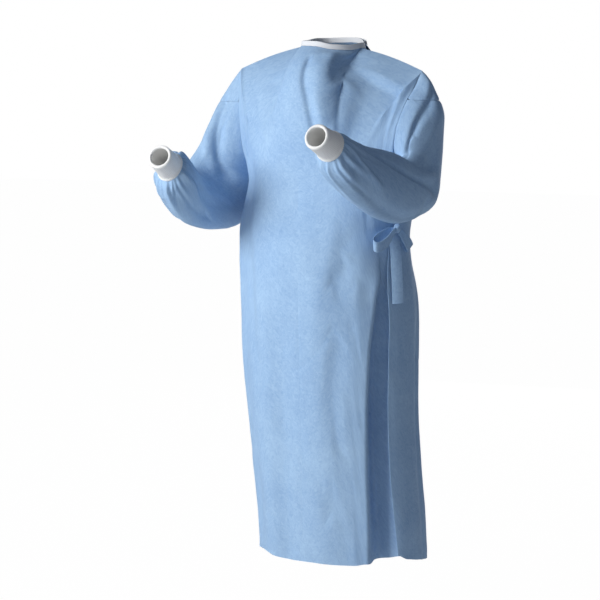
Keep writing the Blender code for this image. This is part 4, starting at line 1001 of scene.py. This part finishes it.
def makeLoop(table):
    knot, n, line, up = knotFrame()
    run = unit(line * table["along"] + up * table["up"])
    side = unit(np.cross(n, run))
    steps = np.arange(72) / 72
    reach, away, half = (through(np.array(table[key]), steps, closed=True) for key in ("reach", "away", "half"))
    across = np.linspace(-1, 1, 9)
    grid = []
    for i in range(len(steps)):
        sag = table["droop"] * (reach[i] / 0.05)**2
        sag -= table["lean"] * max(away[i] - 0.0046, 0) * min(reach[i] / 0.05, 1)
        middle = knot + run * reach[i] + n * away[i] + up * sag
        grid.append(middle + np.outer(across * half[i], side))
    grid = np.array(grid).transpose(1, 0, 2)
    facing = outward(grid, wrap=True)
    if np.sum(facing * (grid - grid.mean(axis=1, keepdims=True))) < 0:
        grid = grid[:, ::-1]
    return grid


def makeKnot():
    knot, n, line, up = knotFrame()
    centre = knot + n * tie["knotAway"]
    a = np.linspace(-1, 1, 24)[:, None] * math.pi * 0.47
    b = (2 * np.pi * np.arange(48) / 48)[None, :]
    r = np.cos(a)**0.6 * (1 - 0.10 * np.abs(np.sin(2.5 * b + 2.2 * a))**3)  # folds of the drawn-up tie
    size = tie["knotSize"]
    grid = (centre + (size[0] * r * np.cos(b))[..., None] * line + (size[1] * r * np.sin(b))[..., None] * n
            + (size[2] * np.sin(a) + 0 * b)[..., None] * up)
    return grid[::-1, ::-1]


ties = []
for name, node, make, table, flat in (
        ("tieLoopFront", "tie_loop_front", makeLoop, "loopFront", (0.166, 0.024)),
        ("tieLoopBack", "tie_loop_back", makeLoop, "loopBack", (0.115, 0.023)),
        ("tieTailLong", "tie_tail_long", makeTail, "tailLong", (0.0265, 0.160)),
        ("tieTailShort", "tie_tail_short", makeTail, "tailShort", (0.025, 0.091))):
    ties.append((clothPiece(name, make(tie[table]), blue, make is makeLoop, tie["wall"]), node, flat))
knot = clothPiece("tieKnot", makeKnot(), blue, True, tie["wall"])
carry(knot, "tie_knot")
for piece, node, flat in ties:
    carry(piece, node)
print("ties made")

studio = {"floor": -1.43, "white": 1.0, "ambient": 0.155, "shade": (0.88, 0.97, 1.16, 1)}


def addStage():
    bpy.ops.mesh.primitive_plane_add(size=40, location=(0, 0, studio["floor"]))
    floor = bpy.context.object
    floor.name = "studioFloor"
    material = bpy.data.materials.new("studioFloor")
    material.use_nodes = True
    tree = material.node_tree
    tree.nodes.clear()
    paint = Paint(tree)
    diffuse = paint.node("ShaderNodeBsdfDiffuse", {}, {"Color": (0.85, 0.85, 0.85, 1)})
    glow = paint.node("ShaderNodeEmission", {}, {"Color": (1, 1, 1, 1), "Strength": studio["white"]})
    seen = paint.node("ShaderNodeLightPath") * 0.99
    mixed = paint.node("ShaderNodeMixShader", {}, {0: seen, 1: diffuse, 2: glow})
    output = tree.nodes.new("ShaderNodeOutputMaterial")
    tree.links.new(mixed.socket, output.inputs["Surface"])
    floor.data.materials.append(material)


def addLight(name, place, target, size, power, colour=(1, 1, 1)):
    data = bpy.data.lights.new(name, "AREA")
    data.size, data.energy, data.color = size, power, colour
    lamp = bpy.data.objects.new(name, data)
    bpy.context.collection.objects.link(lamp)
    lamp.location = place
    away = np.array(target, float) - np.array(place, float)
    lamp.rotation_euler = (math.acos(-away[2] / np.linalg.norm(away)), 0, math.atan2(away[1], away[0]) - math.pi / 2)


def addWorld():
    world = bpy.data.worlds.new("studio")
    world.use_nodes = True
    tree = world.node_tree
    tree.nodes.clear()
    paint = Paint(tree)
    seen = paint.node("ShaderNodeLightPath")
    strength = seen * (studio["white"] - studio["ambient"]) + studio["ambient"]
    tint = paint.node("ShaderNodeMix", {"data_type": "RGBA"}, {0: seen, 6: studio["shade"], 7: (1, 1, 1, 1)}, 2)
    glow = paint.node("ShaderNodeBackground", {}, {"Color": tint, "Strength": strength})
    output = tree.nodes.new("ShaderNodeOutputWorld")
    tree.links.new(glow.socket, output.inputs["Surface"])
    bpy.context.scene.world = world


camera = {"turn": 33, "down": 7, "distance": 3.5, "target": (-0.06877, -0.04466, -0.6), "lens": 89.1}


def addCamera():
    data = bpy.data.cameras.new("camera")
    data.lens, data.sensor_width = camera["lens"], 36
    lens = bpy.data.objects.new("camera", data)
    bpy.context.collection.objects.link(lens)
    turn, down = math.radians(camera["turn"]), math.radians(camera["down"])
    look = np.array([-math.sin(turn) * math.cos(down), math.cos(turn) * math.cos(down), -math.sin(down)])
    lens.location = np.array(camera["target"]) - camera["distance"] * look
    lens.rotation_euler = (math.pi / 2 - down, 0, turn)
    bpy.context.scene.camera = lens


addStage()
addWorld()
addLight("key", (-1.25, -2.65, 0.55), (0, 0, -0.5), 1.2, 82)
addLight("fill", (2.6, -2.6, 0.2), (0, 0, -0.6), 2.5, 2)
addLight("back", (-0.9, 3.3, -0.2), (0, 0, -0.6), 2.5, 45)
addCamera()
bpy.context.scene.view_settings.view_transform = "Standard"
print("studio made")
